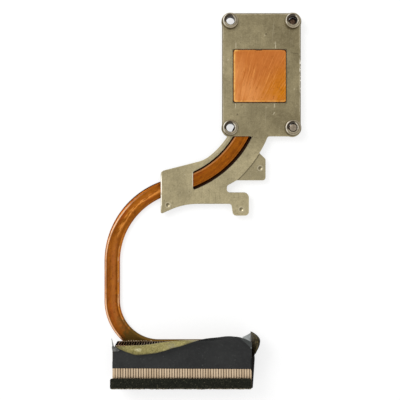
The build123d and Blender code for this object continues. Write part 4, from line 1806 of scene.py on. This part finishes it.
def smooth_through(places: Sequence[float], values: Sequence[float], wanted: np.ndarray) -> np.ndarray:
    """Runs a smooth curve through values without overshoot.

    Args:
        places: Where the values are given, rising.
        values: The values there.
        wanted: Where values are wanted.

    Returns:
        The values there.
    """
    x, y = np.asarray(places, float), np.asarray(values, float)
    step = np.diff(x)
    slope = np.diff(y) / step
    tangent = np.zeros(len(x))
    tangent[0], tangent[-1] = slope[0], slope[-1]
    for number in range(1, len(x) - 1):
        before, after = slope[number - 1], slope[number]
        if before * after > 0:
            tangent[number] = 2 * before * after / (before + after)
    index = np.clip(np.searchsorted(x, wanted, side="right") - 1, 0, len(step) - 1)
    h = step[index]
    t = (wanted - x[index]) / h
    return (
        (1 + 2 * t) * (1 - t) ** 2 * y[index]
        + t * (1 - t) ** 2 * h * tangent[index]
        + t**2 * (3 - 2 * t) * y[index + 1]
        + t**2 * (t - 1) * h * tangent[index + 1]
    )


@dataclass
class CoverFilm:
    """The black film over the fins: a flat panel, a curling lip, an end wall with an ear."""

    thickness: float = 0.2 * MM
    depth: float = 12.9 * MM
    fold_lip: float = 0.6 * MM
    fold_opening: float = 5.0
    wall_height: float = 8.5 * MM
    wall_foot: float = 0.05 * MM
    wall_drop: float = 1.3 * MM
    wall_start: float = 11.0 * MM
    bulges: Lengths = mm(0.5, 1.25, 1.9)
    rear_lip: float = 0.1 * MM
    rear_lip_length: float = 1.2 * MM
    side_inset: float = 0.3 * MM
    ear_root: float = 3.2 * MM
    ear_blend: float = 4.6 * MM
    ear_peak: float = 2.6 * MM
    ear_reach: float = 5.8 * MM
    ear_lean: float = 4.4 * MM
    ear_root_loss: float = 0.44
    ear_bow: float = 1.4
    ear_end: float = 0.985
    gusset_width: float = 5.2 * MM
    gusset_reach: float = 4.6 * MM
    gusset_rise: float = 0.2 * MM
    gusset_root_reach: float = 1.1 * MM
    gusset_foot_inset: float = 0.7 * MM
    gusset_foot_rise: float = 0.8 * MM
    gusset_end: float = 0.97
    gusset_sag: float = 0.35 * MM
    tongue_upper: Tuple[Triple, ...] = ((0.1, -5.0, 0.14), (0.1, -1.0, 0.14), (-0.6, 3.4, -1.4))
    tongue_lower: Tuple[Triple, ...] = ((0.1, -5.0, -0.26), (0.1, -1.0, -3.2), (-0.6, 3.4, -1.8))
    wrap_outer: Tuple[Triple, ...] = (
        (0.2, 0.3, 0.5), (-0.15, -1.2, 0.3), (0.1, -2.3, 0.3), (1.05, -3.2, 0.5), (3.4, -3.0, 1.0)
    )
    wrap_inner: Tuple[Triple, ...] = (
        (0.5, 0.2, 0.7), (1.5, -0.4, 1.0), (2.5, -1.0, 1.2), (3.4, -1.6, 1.3), (4.3, -2.2, 1.3)
    )
    wrap_swell: float = 0.25 * MM
    crease_start: Lengths = mm(5.6, 3.3)
    crease_end: Lengths = mm(0, -1.8)
    crease_slope: float = 0.55
    left_inset: float = 1.1 * MM
    left_straight: float = 0.3
    lip_inset: float = 2.6 * MM
    lip_slant: float = 1.4 * MM
    rear_skew: float = 0.36 * MM
    wave: float = 0.1 * MM
    wave_length: float = 9.0 * MM
    wave_share: float = 0.3
    columns: int = 160
    flat_rows: int = 34
    curl_rows: int = 16
    tail_rows: int = 12
    side_rows: int = 10
    fold_rows: int = 9
    wall_columns: int = 40
    ear_columns: int = 44
    gusset_grid: Tuple[int, int] = (12, 8)
    tongue_grid: Tuple[int, int] = (16, 6)
    wrap_grid: Tuple[int, int] = (22, 8)
    stations: Tuple[FilmStation, ...] = (
        FilmStation(0.0, -1.0, 0.45, 165.0, 0.8),
        FilmStation(0.065, -0.75, 0.45, 172.0, 2.9),
        FilmStation(0.14, -0.5, 0.45, 174.0, 4.45),
        FilmStation(0.2, -0.3, 0.48, 174.0, 4.25),
        FilmStation(0.27, 0.2, 0.55, 172.0, 4.1),
        FilmStation(0.33, 0.9, 0.65, 165.0, 3.85),
        FilmStation(0.414, 1.5, 0.9, 146.0, 3.05),
        FilmStation(0.52, 1.75, 1.4, 112.0, 2.9),
        FilmStation(0.607, 1.2, 2.0, 74.0, 2.7),
        FilmStation(0.736, 1.2, 3.0, 42.0, 2.2),
        FilmStation(0.843, 1.0, 5.0, 22.0, 2.6),
        FilmStation(0.9, 1.0, 5.0, 18.0, 2.4),
        FilmStation(0.952, 0.9, 5.0, 10.0, 2.0),
        FilmStation(1.0, 0.6, 5.0, 6.0, 0.9),
    )
    finish: FilmFinish = FilmFinish()
    wall: FilmFinish = FilmFinish("film_wall", specular=0.06)
    web: CloudyFinish = folded_film("pale_web", (0.52, 0.55, 0.54), (0.33, 0.35, 0.345))
    scuffed: CloudyFinish = folded_film("scuffed_film", (0.19, 0.19, 0.175), (0.03, 0.03, 0.028))
    adhesive: AdhesiveFinish = AdhesiveFinish(
        "film_adhesive", (0.172, 0.141, 0.028), (0.62, 0.545, 0.215), (0.06, 0.046, 0.012), 0.55
    )
    # A darker copy of the adhesive for the ear's inner face: painted shade, over its own black mottling.
    shaded_ear_adhesive: AdhesiveFinish = AdhesiveFinish(
        "shaded_ear_adhesive", (0.027, 0.019, 0.006), (0.245, 0.19, 0.072), (0.003, 0.002, 0.002), 0.39,
        fleck=0.8, edge_y=-154.6 * MM, edge_fade=3.4 * MM, rim_width=1.1 * MM, grain=480.0,
    )

    def measure(self) -> None:
        """Takes the stack's edges from the fins' solids."""
        low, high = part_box("fin_02")
        self.left, self.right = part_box("fin_01")[0].x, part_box("fin_54")[1].x
        self.fan_y, self.exhaust_y, self.top = high.y, low.y, high.z
        self.rear_y = self.fan_y - self.depth
        self.ear_start = self.fan_y - self.ear_root

    def _panel(self) -> np.ndarray:
        """Gives the middle surface of the panel and its lip.

        Returns:
            A grid of points, rows from the panel's rear edge to the lip's free edge.
        """
        share = np.linspace(0.0, 1.0, self.columns)
        places, *shapes = np.array(self.stations).T
        reach, radius, angle, tail = (smooth_through(places, shape, share) for shape in shapes)
        radius = radius * MM + self.thickness / 2
        angle, tail = np.radians(angle), tail * MM
        level = np.full_like(share, self.top + self.thickness / 2)
        bend_y = self.fan_y + reach * MM
        rear = self.rear_y + self.rear_skew * (1 - share)
        rows = []

        def row(y: np.ndarray, z: np.ndarray, inset: float) -> None:
            """Adds one row across the panel, its left end moved in.

            Args:
                y: Places along the depth.
                z: Heights.
                inset: How far the left end is moved in.
            """
            left = self.left + inset
            closed = 1 - np.clip(self.fold_opening * self._opening(y), 0.0, 1.0)
            right = self.right - self.fold_lip * closed
            rows.append(np.column_stack((left + share * (right - left), y, z)))

        for step in np.linspace(0.0, 1.0, self.flat_rows):
            slanted = max(0.0, step - self.left_straight) / (1 - self.left_straight)
            row(rear + step * (bend_y - rear), level, self.left_inset * slanted)
        for step in np.linspace(0.0, 1.0, self.curl_rows)[1:]:
            inset = self.left_inset + (self.lip_inset - self.left_inset) * step
            row(bend_y + radius * np.sin(angle * step), level + radius * (1 - np.cos(angle * step)), inset)
        end_y = bend_y + radius * np.sin(angle)
        end_z = level + radius * (1 - np.cos(angle))
        for step in np.linspace(0.0, 1.0, self.tail_rows)[1:]:
            inset = self.lip_inset + self.lip_slant * step
            row(end_y + tail * step * np.cos(angle), end_z + tail * step * np.sin(angle), inset)
        grid = np.array(rows)
        self._crease(grid)
        for number in range(1, grid.shape[0]):
            loose = max(0.0, (number - self.flat_rows) / (grid.shape[0] - self.flat_rows))
            for column in range(self.columns):
                swell = 0.5 + 0.5 * noise.noise(Vector(grid[number, column] / self.wave_length))
                grid[number, column, 2] += self.wave * swell * (self.wave_share + loose)
        grid[..., 2] = np.minimum(grid[..., 2], CAD_BOX[1].z - self.thickness)
        return grid

    def _crease(self, grid: np.ndarray) -> None:
        """Tilts the panel's corner up beyond a straight crease.

        Args:
            grid: The panel's points, which are moved in place.
        """
        start = np.array((self.right - self.crease_start[0], self.fan_y + self.crease_start[1]))
        end = np.array((self.right - self.crease_end[0], self.fan_y + self.crease_end[1]))
        way = (end - start) / np.linalg.norm(end - start)
        beyond = (grid[..., 0] - start[0]) * -way[1] + (grid[..., 1] - start[1]) * way[0]
        grid[..., 2] += self.crease_slope * np.clip(beyond, 0.0, None)

    def _opening(self, y: np.ndarray) -> np.ndarray:
        """Gives how far the wall has opened from the panel, 0 at its fold and 1 at the ear."""
        share = np.clip((y - self.ear_start + self.ear_blend) / self.ear_blend, 0.0, 1.0)
        return share**2 * (3 - 2 * share)

    def _wall_section(self, y: float) -> np.ndarray:
        """Gives the end wall's section from its foot up to its fold, or the ear's to its rim.

        Args:
            y: Place along the wall.

        Returns:
            Points from foot to top.
        """
        half, fold_level = self.thickness / 2, self.top + self.thickness / 2
        foot = np.array((self.right + self.wall_foot + half, self.top - self.wall_height))
        bulge = np.interp(y, (self.rear_y - self.wall_start, self.rear_y, self.ear_start), self.bulges)
        lip_places = (self.rear_y - self.rear_lip_length, self.rear_y)
        lip = np.interp(y, lip_places, (self.rear_lip, self.fold_lip))
        fold = np.array((self.right - lip, fold_level))
        knee = np.array((self.right + bulge, fold_level))
        side = np.array((self.right + bulge + half, self.top - self.wall_drop))
        up = np.linspace(0.0, 1.0, self.side_rows)[:, None]
        over = np.linspace(0.0, 1.0, self.fold_rows)[1:, None]
        rounded = side * (1 - over) ** 2 + knee * 2 * over * (1 - over) + fold * over**2
        wall = np.vstack((foot + (side - foot) * up, rounded))
        back = np.clip((self.fan_y + self.ear_peak - y) / (self.ear_peak + self.ear_root), 0.0, 1.0)
        lean = self.ear_lean * (1 - self.ear_root_loss * back**2)
        beyond_peak = (y - self.fan_y - self.ear_peak) / (self.ear_reach - self.ear_peak)
        rise = (1 - np.clip(beyond_peak, 0.0, self.ear_end) ** 2) ** 0.5
        share = np.linspace(0.0, 1.0, len(wall))
        ear_x = foot[0] + lean * rise * share**self.ear_bow
        ear = np.column_stack((ear_x, foot[1] + self.wall_height * rise * share))
        mixed = wall + (ear - wall) * self._opening(y)
        return np.column_stack((mixed[:, 0], np.full(len(mixed), y), mixed[:, 1]))

    def _wall(self) -> np.ndarray:
        """Gives the end wall and its ear as one grid along the stack's depth.

        Returns:
            The grid.
        """
        open_y = self.ear_start - self.ear_blend
        wall = np.linspace(self.exhaust_y + self.side_inset, open_y, self.wall_columns)
        share = np.sin(np.linspace(0.0, UPRIGHT, self.ear_columns))
        ear = open_y + share * (self.ear_blend + self.ear_root + self.ear_reach)
        return np.array([self._wall_section(y) for y in np.concatenate((wall, ear[1:]))])

    @staticmethod
    def _between(first: Sequence[Triple], second: Sequence[Triple], size: Tuple[int, int]) -> np.ndarray:
        """Gives a grid between two smooth lines.

        Args:
            first: Points of the first line.
            second: Points of the second line, as many.
            size: How many points the grid has along the lines and between them.

        Returns:
            The grid.
        """
        places = np.linspace(0.0, 1.0, len(first))
        wanted = np.linspace(0.0, 1.0, size[0])
        sides = []
        for line in (np.array(first), np.array(second)):
            axes = [smooth_through(places, line[:, axis], wanted) for axis in range(3)]
            sides.append(np.column_stack(axes)[:, None, :])
        across = np.linspace(0.0, 1.0, size[1])[None, :, None]
        return sides[0] * (1 - across) + sides[1] * across

    def _flap(self, first: Sequence[Triple], second: Sequence[Triple], size: Tuple[int, int]) -> np.ndarray:
        """Gives a flap between two lines in millimetres from the panel's left corner."""
        corner = np.array((self.left, self.fan_y, self.top))
        return self._between(corner + np.array(first) * MM, corner + np.array(second) * MM, size)

    def _tongue(self) -> np.ndarray:
        """Gives the small pointed flap at the left end, as a grid from root to point."""
        return self._flap(self.tongue_upper, self.tongue_lower, self.tongue_grid)

    def _wrap(self) -> np.ndarray:
        """Gives the end of the lip that wraps back over the panel's left corner."""
        grid = self._flap(self.wrap_outer, self.wrap_inner, self.wrap_grid)
        grid[..., 2] += self.wrap_swell * np.sin(np.linspace(0.0, math.pi, self.wrap_grid[1]))[None, :]
        return grid

    def _gusset(self) -> np.ndarray:
        """Gives the web between the lip's end and the ear's foot as a fan of rows.

        Returns:
            The grid.
        """
        right, fan_y, top = self.right, self.fan_y, self.top + self.thickness
        lip = np.array((right - self.gusset_width, fan_y + self.gusset_reach, top + self.gusset_rise))
        root = np.array((right - self.fold_lip, fan_y + self.gusset_root_reach, top))
        foot_y = fan_y + self.ear_reach - self.gusset_foot_inset
        foot_z = self.top - self.wall_height + self.gusset_foot_rise
        foot = np.array((right + self.wall_foot, foot_y, foot_z))
        rows, columns = self.gusset_grid
        shares = np.linspace(0.0, self.gusset_end, rows)[:, None]
        grid = self._between(lip + (foot - lip) * shares, root + (foot - root) * shares, self.gusset_grid)
        sag = np.sin(math.pi * shares) * np.sin(np.linspace(0.0, math.pi, columns))[None, :]
        grid[..., 2] -= self.gusset_sag * sag
        return grid

    def build(self) -> Object:
        """Makes the film in the place of its plain solid.

        Returns:
            The film.
        """
        self.measure()
        sheet = SheetMesh(self.thickness)
        sheet.add(np.swapaxes(self._panel(), 0, 1), Skin.OUTER, Skin.INNER, 0.0)
        sheet.add(self._wall(), Skin.WALL, Skin.EAR_INNER, 0.0)
        sheet.add(self._gusset(), Skin.WEB, Skin.WEB)
        sheet.add(self._tongue(), Skin.WEB, Skin.WEB)
        sheet.add(self._wrap(), Skin.SCUFFED, Skin.SCUFFED)
        mesh = sheet.done("cover_film_sheet")
        film = scene_object("cover_film_sheet", mesh)
        for finish in (self.finish, self.adhesive, self.shaded_ear_adhesive, self.web, self.scuffed, self.wall):
            mesh.materials.append(finish.build())
        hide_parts("cover_film")
        return settle(film)


@dataclass
class FoamStrip:
    """The soft strip along the exhaust edge, with torn cells and loose fibres."""

    side_points: int = 44
    stations: int = 300
    corner_share: float = 0.82
    corner_from: float = 0.85
    cell: float = 0.42 * MM
    fine_cell: float = 0.45
    fine_share: float = 0.6
    roughness: float = 0.16 * MM
    sway: float = 0.22 * MM
    sway_lengths: Lengths = mm(6, 1.6)
    sway_shares: Tuple[float, float] = (1.0, 0.7)
    margin: float = 0.2 * MM
    inner_spread: float = 0.25 * MM
    end_radius: float = 1.0 * MM
    lint_density: float = 9.0e6
    lint_length: float = 0.42 * MM
    lint_radius: float = 0.035 * MM
    lint_sides: int = 4
    lint_lean: Triple = (1.1, 1.1, 3.1)
    lint_sizes: Tuple[float, float] = (0.25, 1.0)
    seed: int = 5
    fill: float = 0.7
    finish: FoamFinish = FoamFinish()
    lint: LintFinish = LintFinish()

    def _section(self, half_width: float, height: float) -> np.ndarray:
        """Gives the rounded section as points around it.

        Args:
            half_width: Half of the strip's width.
            height: The strip's height.

        Returns:
            Points of across and up.
        """
        points = []
        for number in range(self.side_points):
            turn = 2 * math.pi * number / self.side_points
            flat = max(abs(math.cos(turn)), abs(math.sin(turn)))
            drawn_in = self.corner_share + (1 - self.corner_share) * flat if flat < self.corner_from else 1.0
            x = half_width * math.cos(turn) / flat * drawn_in
            z = height / 2 * (1 + math.sin(turn) / flat * drawn_in)
            points.append((x, z))
        return np.array(points)

    def _sway(self, x: float) -> float:
        """Gives how far the outer edge sways at one place along the strip."""
        first = noise.noise(Vector((x / self.sway_lengths[0], 0.0, 7.0)))
        second = noise.noise(Vector((x / self.sway_lengths[1], 3.0, 7.0)))
        return self.sway * (self.sway_shares[0] * first + self.sway_shares[1] * second)

    def _strip(self) -> Object:
        """Makes the foam, its rings of points pushed out and in by the torn cells.

        Returns:
            The strip.
        """
        low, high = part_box("foam_gasket")
        half_width = (high.y - low.y + self.inner_spread) / 2 - self.margin
        height = high.z - low.z - self.margin
        section = self._section(half_width, height)
        middle_y = (low.y + high.y + self.inner_spread) / 2
        made = bmesh.new()
        rings = []
        for x in np.linspace(low.x + self.margin, high.x - self.margin, self.stations):
            sway = self._sway(x)
            to_full = self.end_radius - min(x - low.x, high.x - x, self.end_radius)
            narrowed = self.end_radius - (self.end_radius**2 - to_full**2) ** 0.5
            ring = []
            for full, up in section:
                across = full * (1 - narrowed / half_width)
                place = Vector((x, across, up))
                fine = noise.noise(place / (self.fine_cell * self.cell))
                torn = noise.noise(place / self.cell) + self.fine_share * fine
                outward = Vector((0.0, across / half_width, max(0.0, 2 * up / height - 1))).normalized()
                point = Vector((x, middle_y + across + sway * max(0.0, -across / half_width), low.z + up))
                pushed = point + outward * self.roughness * torn
                pushed.y = max(pushed.y, low.y)
                pushed.z = min(max(pushed.z, low.z), high.z)
                ring.append(made.verts.new(pushed))
            rings.append(ring)
        for before, after in zip(rings, rings[1:]):
            for number in range(self.side_points):
                following = (number + 1) % self.side_points
                made.faces.new((before[number], before[following], after[following], after[number]))
        made.faces.new(rings[0][::-1])
        made.faces.new(rings[-1])
        bmesh.ops.recalc_face_normals(made, faces=made.faces)
        mesh = bpy.data.meshes.new("foam_strip")
        made.to_mesh(mesh)
        made.free()
        return scene_object("foam_strip", mesh)

    def build(self) -> Tuple[Object, Object]:
        """Makes the foam and its lint.

        Returns:
            The strip and the lint.
        """
        strip = self._strip()
        strip.data.materials.append(self.finish.build())
        fibres = self._fibres(strip)
        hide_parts("foam_gasket")
        settle(strip)
        return strip, settle(fibres)

    def _fibres(self, strip: Object) -> Object:
        """Scatters short fibres over the foam.

        Args:
            strip: The foam.

        Returns:
            The fibres as one piece.
        """
        values = {
            "Density": self.lint_density,
            "Length": self.lint_length,
            "Radius": self.lint_radius,
            "Seed": self.seed,
            "Material": self.lint.build(),
        }
        made = NodeModifier("foam_fibres", values)
        given = made.given
        inputs = {"Mesh": given["Geometry"], "Density": given["Density"], "Seed": given["Seed"]}
        points = made.tree.add("GeometryNodeDistributePointsOnFaces", inputs).outputs
        spike = {"Vertices": self.lint_sides, "Radius Top": 0.0}
        spike.update({"Radius Bottom": given["Radius"], "Depth": given["Length"]})
        fibre = made.tree.add("GeometryNodeMeshCone", spike).outputs["Mesh"]
        least = tuple(-lean for lean in self.lint_lean)
        leans = {0: least, 1: self.lint_lean, "Seed": given["Seed"]}
        lean = made.step("FunctionNodeRandomValue", leans, data_type="FLOAT_VECTOR")
        turns = {0: points["Rotation"], 1: lean}
        tilt = made.step("FunctionNodeRotateRotation", turns, rotation_space="LOCAL")
        sizes = {2: self.lint_sizes[0], 3: self.lint_sizes[1], "Seed": given["Seed"]}
        size = made.tree.add("FunctionNodeRandomValue", sizes, data_type="FLOAT").outputs[1]
        inputs = {"Points": points["Points"], "Instance": fibre, "Rotation": tilt, "Scale": size}
        fibres = made.run(made.step("GeometryNodeInstanceOnPoints", inputs), "foam_lint", strip)
        low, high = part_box("foam_gasket")
        for vertex in fibres.data.vertices:
            vertex.co.x = min(max(vertex.co.x, low.x), high.x)
            vertex.co.y = min(max(vertex.co.y, low.y), high.y + self.inner_spread)
            vertex.co.z = min(max(vertex.co.z, low.z), high.z)
        return fibres


@dataclass
class Studio:
    """White table, a soft lamp at the upper left and a camera that looks straight down."""

    table_half: float = 3.0
    table_white: Colour = (0.44, 0.44, 0.44)
    table_roughness: float = 0.9
    table_glow: float = 0.68
    white: Colour = (1.0, 1.0, 1.0)
    sky_level: float = 0.62
    zenith_level: float = 0.78
    horizon_level: float = 1.0
    overhead: Tuple[float, float] = (0.35, 0.95)
    key_place: Triple = (-0.62, 0.42, 0.62)
    key_side: float = 0.55
    key_power: float = 4.2
    camera_height: float = 330.0 * MM
    camera_near: float = 0.01
    view_half: float = 113.92 * MM
    view_centre: Lengths = mm(-33.5976, -69.7515)
    sensor: float = 36.0

    def build(self) -> None:
        """Makes the table, the sky, the lamp and the camera."""
        self._table()
        self._sky()
        self._lamp()
        self._camera()

    def _table(self) -> None:
        """Lays the white table under the object, glowing for rays that see it."""
        mesh = bpy.data.meshes.new("table")
        level, side = CAD_BOX[0].z, self.table_half
        corners = [(-side, -side, level), (side, -side, level), (side, side, level), (-side, side, level)]
        mesh.from_pydata(corners, [], [(0, 1, 2, 3)])
        table = scene_object("table", mesh)
        s = Surface("white_table", 0.0, 0.0)
        s.shader.inputs["Roughness"].default_value = self.table_roughness
        s.shader.inputs["Base Color"].default_value = rgba(self.table_white)
        s.shader.inputs["Emission Color"].default_value = rgba(self.white)
        path = s.add("ShaderNodeLightPath").outputs
        seen = s.most(path["Is Camera Ray"], path["Is Glossy Ray"])
        glow = s.both(s.most(seen, path["Is Transmission Ray"]), self.table_glow)
        s.tree.links.new(glow, s.shader.inputs["Emission Strength"])
        mesh.materials.append(s.material)

    def _sky(self) -> None:
        """Makes a white surround, a little dimmer overhead in reflections."""
        world = bpy.data.worlds.new("surround")
        bpy.context.scene.world = world
        world.use_nodes = True
        world.node_tree.nodes.clear()
        tree = Tree(world.node_tree)
        path = tree.add("ShaderNodeLightPath").outputs
        up = tree.parts(tree.add("ShaderNodeTexCoord").outputs["Generated"])[2]
        mirrored = tree.spread(up, *self.overhead, self.horizon_level, self.zenith_level)
        level = tree.between(path["Is Glossy Ray"], self.sky_level, mirrored)
        open_view = tree.most(path["Is Camera Ray"], path["Is Transmission Ray"])
        strength = tree.between(open_view, level, 1.0)
        light = tree.add("ShaderNodeBackground", {"Color": rgba(self.white), "Strength": strength})
        tree.add("ShaderNodeOutputWorld", {"Surface": light.outputs[0]})

    def _lamp(self) -> None:
        """Hangs the large soft lamp at the upper left."""
        lamp = bpy.data.lights.new("key_lamp", "AREA")
        lamp.shape = "SQUARE"
        lamp.size = self.key_side
        lamp.energy = self.key_power
        obj = scene_object("key_lamp", lamp)
        obj.location = self.key_place
        aim = Vector((*self.view_centre, 0.0)) - Vector(self.key_place)
        obj.rotation_euler = aim.to_track_quat("-Z", "Y").to_euler()

    def _camera(self) -> None:
        """Hangs the camera over the middle of the view."""
        camera = bpy.data.cameras.new("overhead")
        camera.sensor_width = self.sensor
        camera.lens = self.sensor / 2 * self.camera_height / self.view_half
        camera.clip_start = self.camera_near
        obj = scene_object("overhead", camera)
        obj.location = (*self.view_centre, CAD_BOX[0].z + self.camera_height)
        bpy.context.scene.camera = obj


def main() -> None:
    """Dresses the heatsink and sets up the studio."""
    logging.basicConfig(level=logging.INFO, format="%(name)s: %(message)s")
    bpy.context.scene.view_settings.view_transform = "Standard"
    plate = MountingPlate()
    plate.dress()
    plate.build()
    RetainedScrews().build()
    pipe = HeatPipe()
    pipe.build()
    pipe.solder()
    fins = FinStack()
    fins.dress()
    fins.build()
    CoverFilm().build()
    FoamStrip().build()
    Studio().build()


if __name__ == "__main__":
    main()
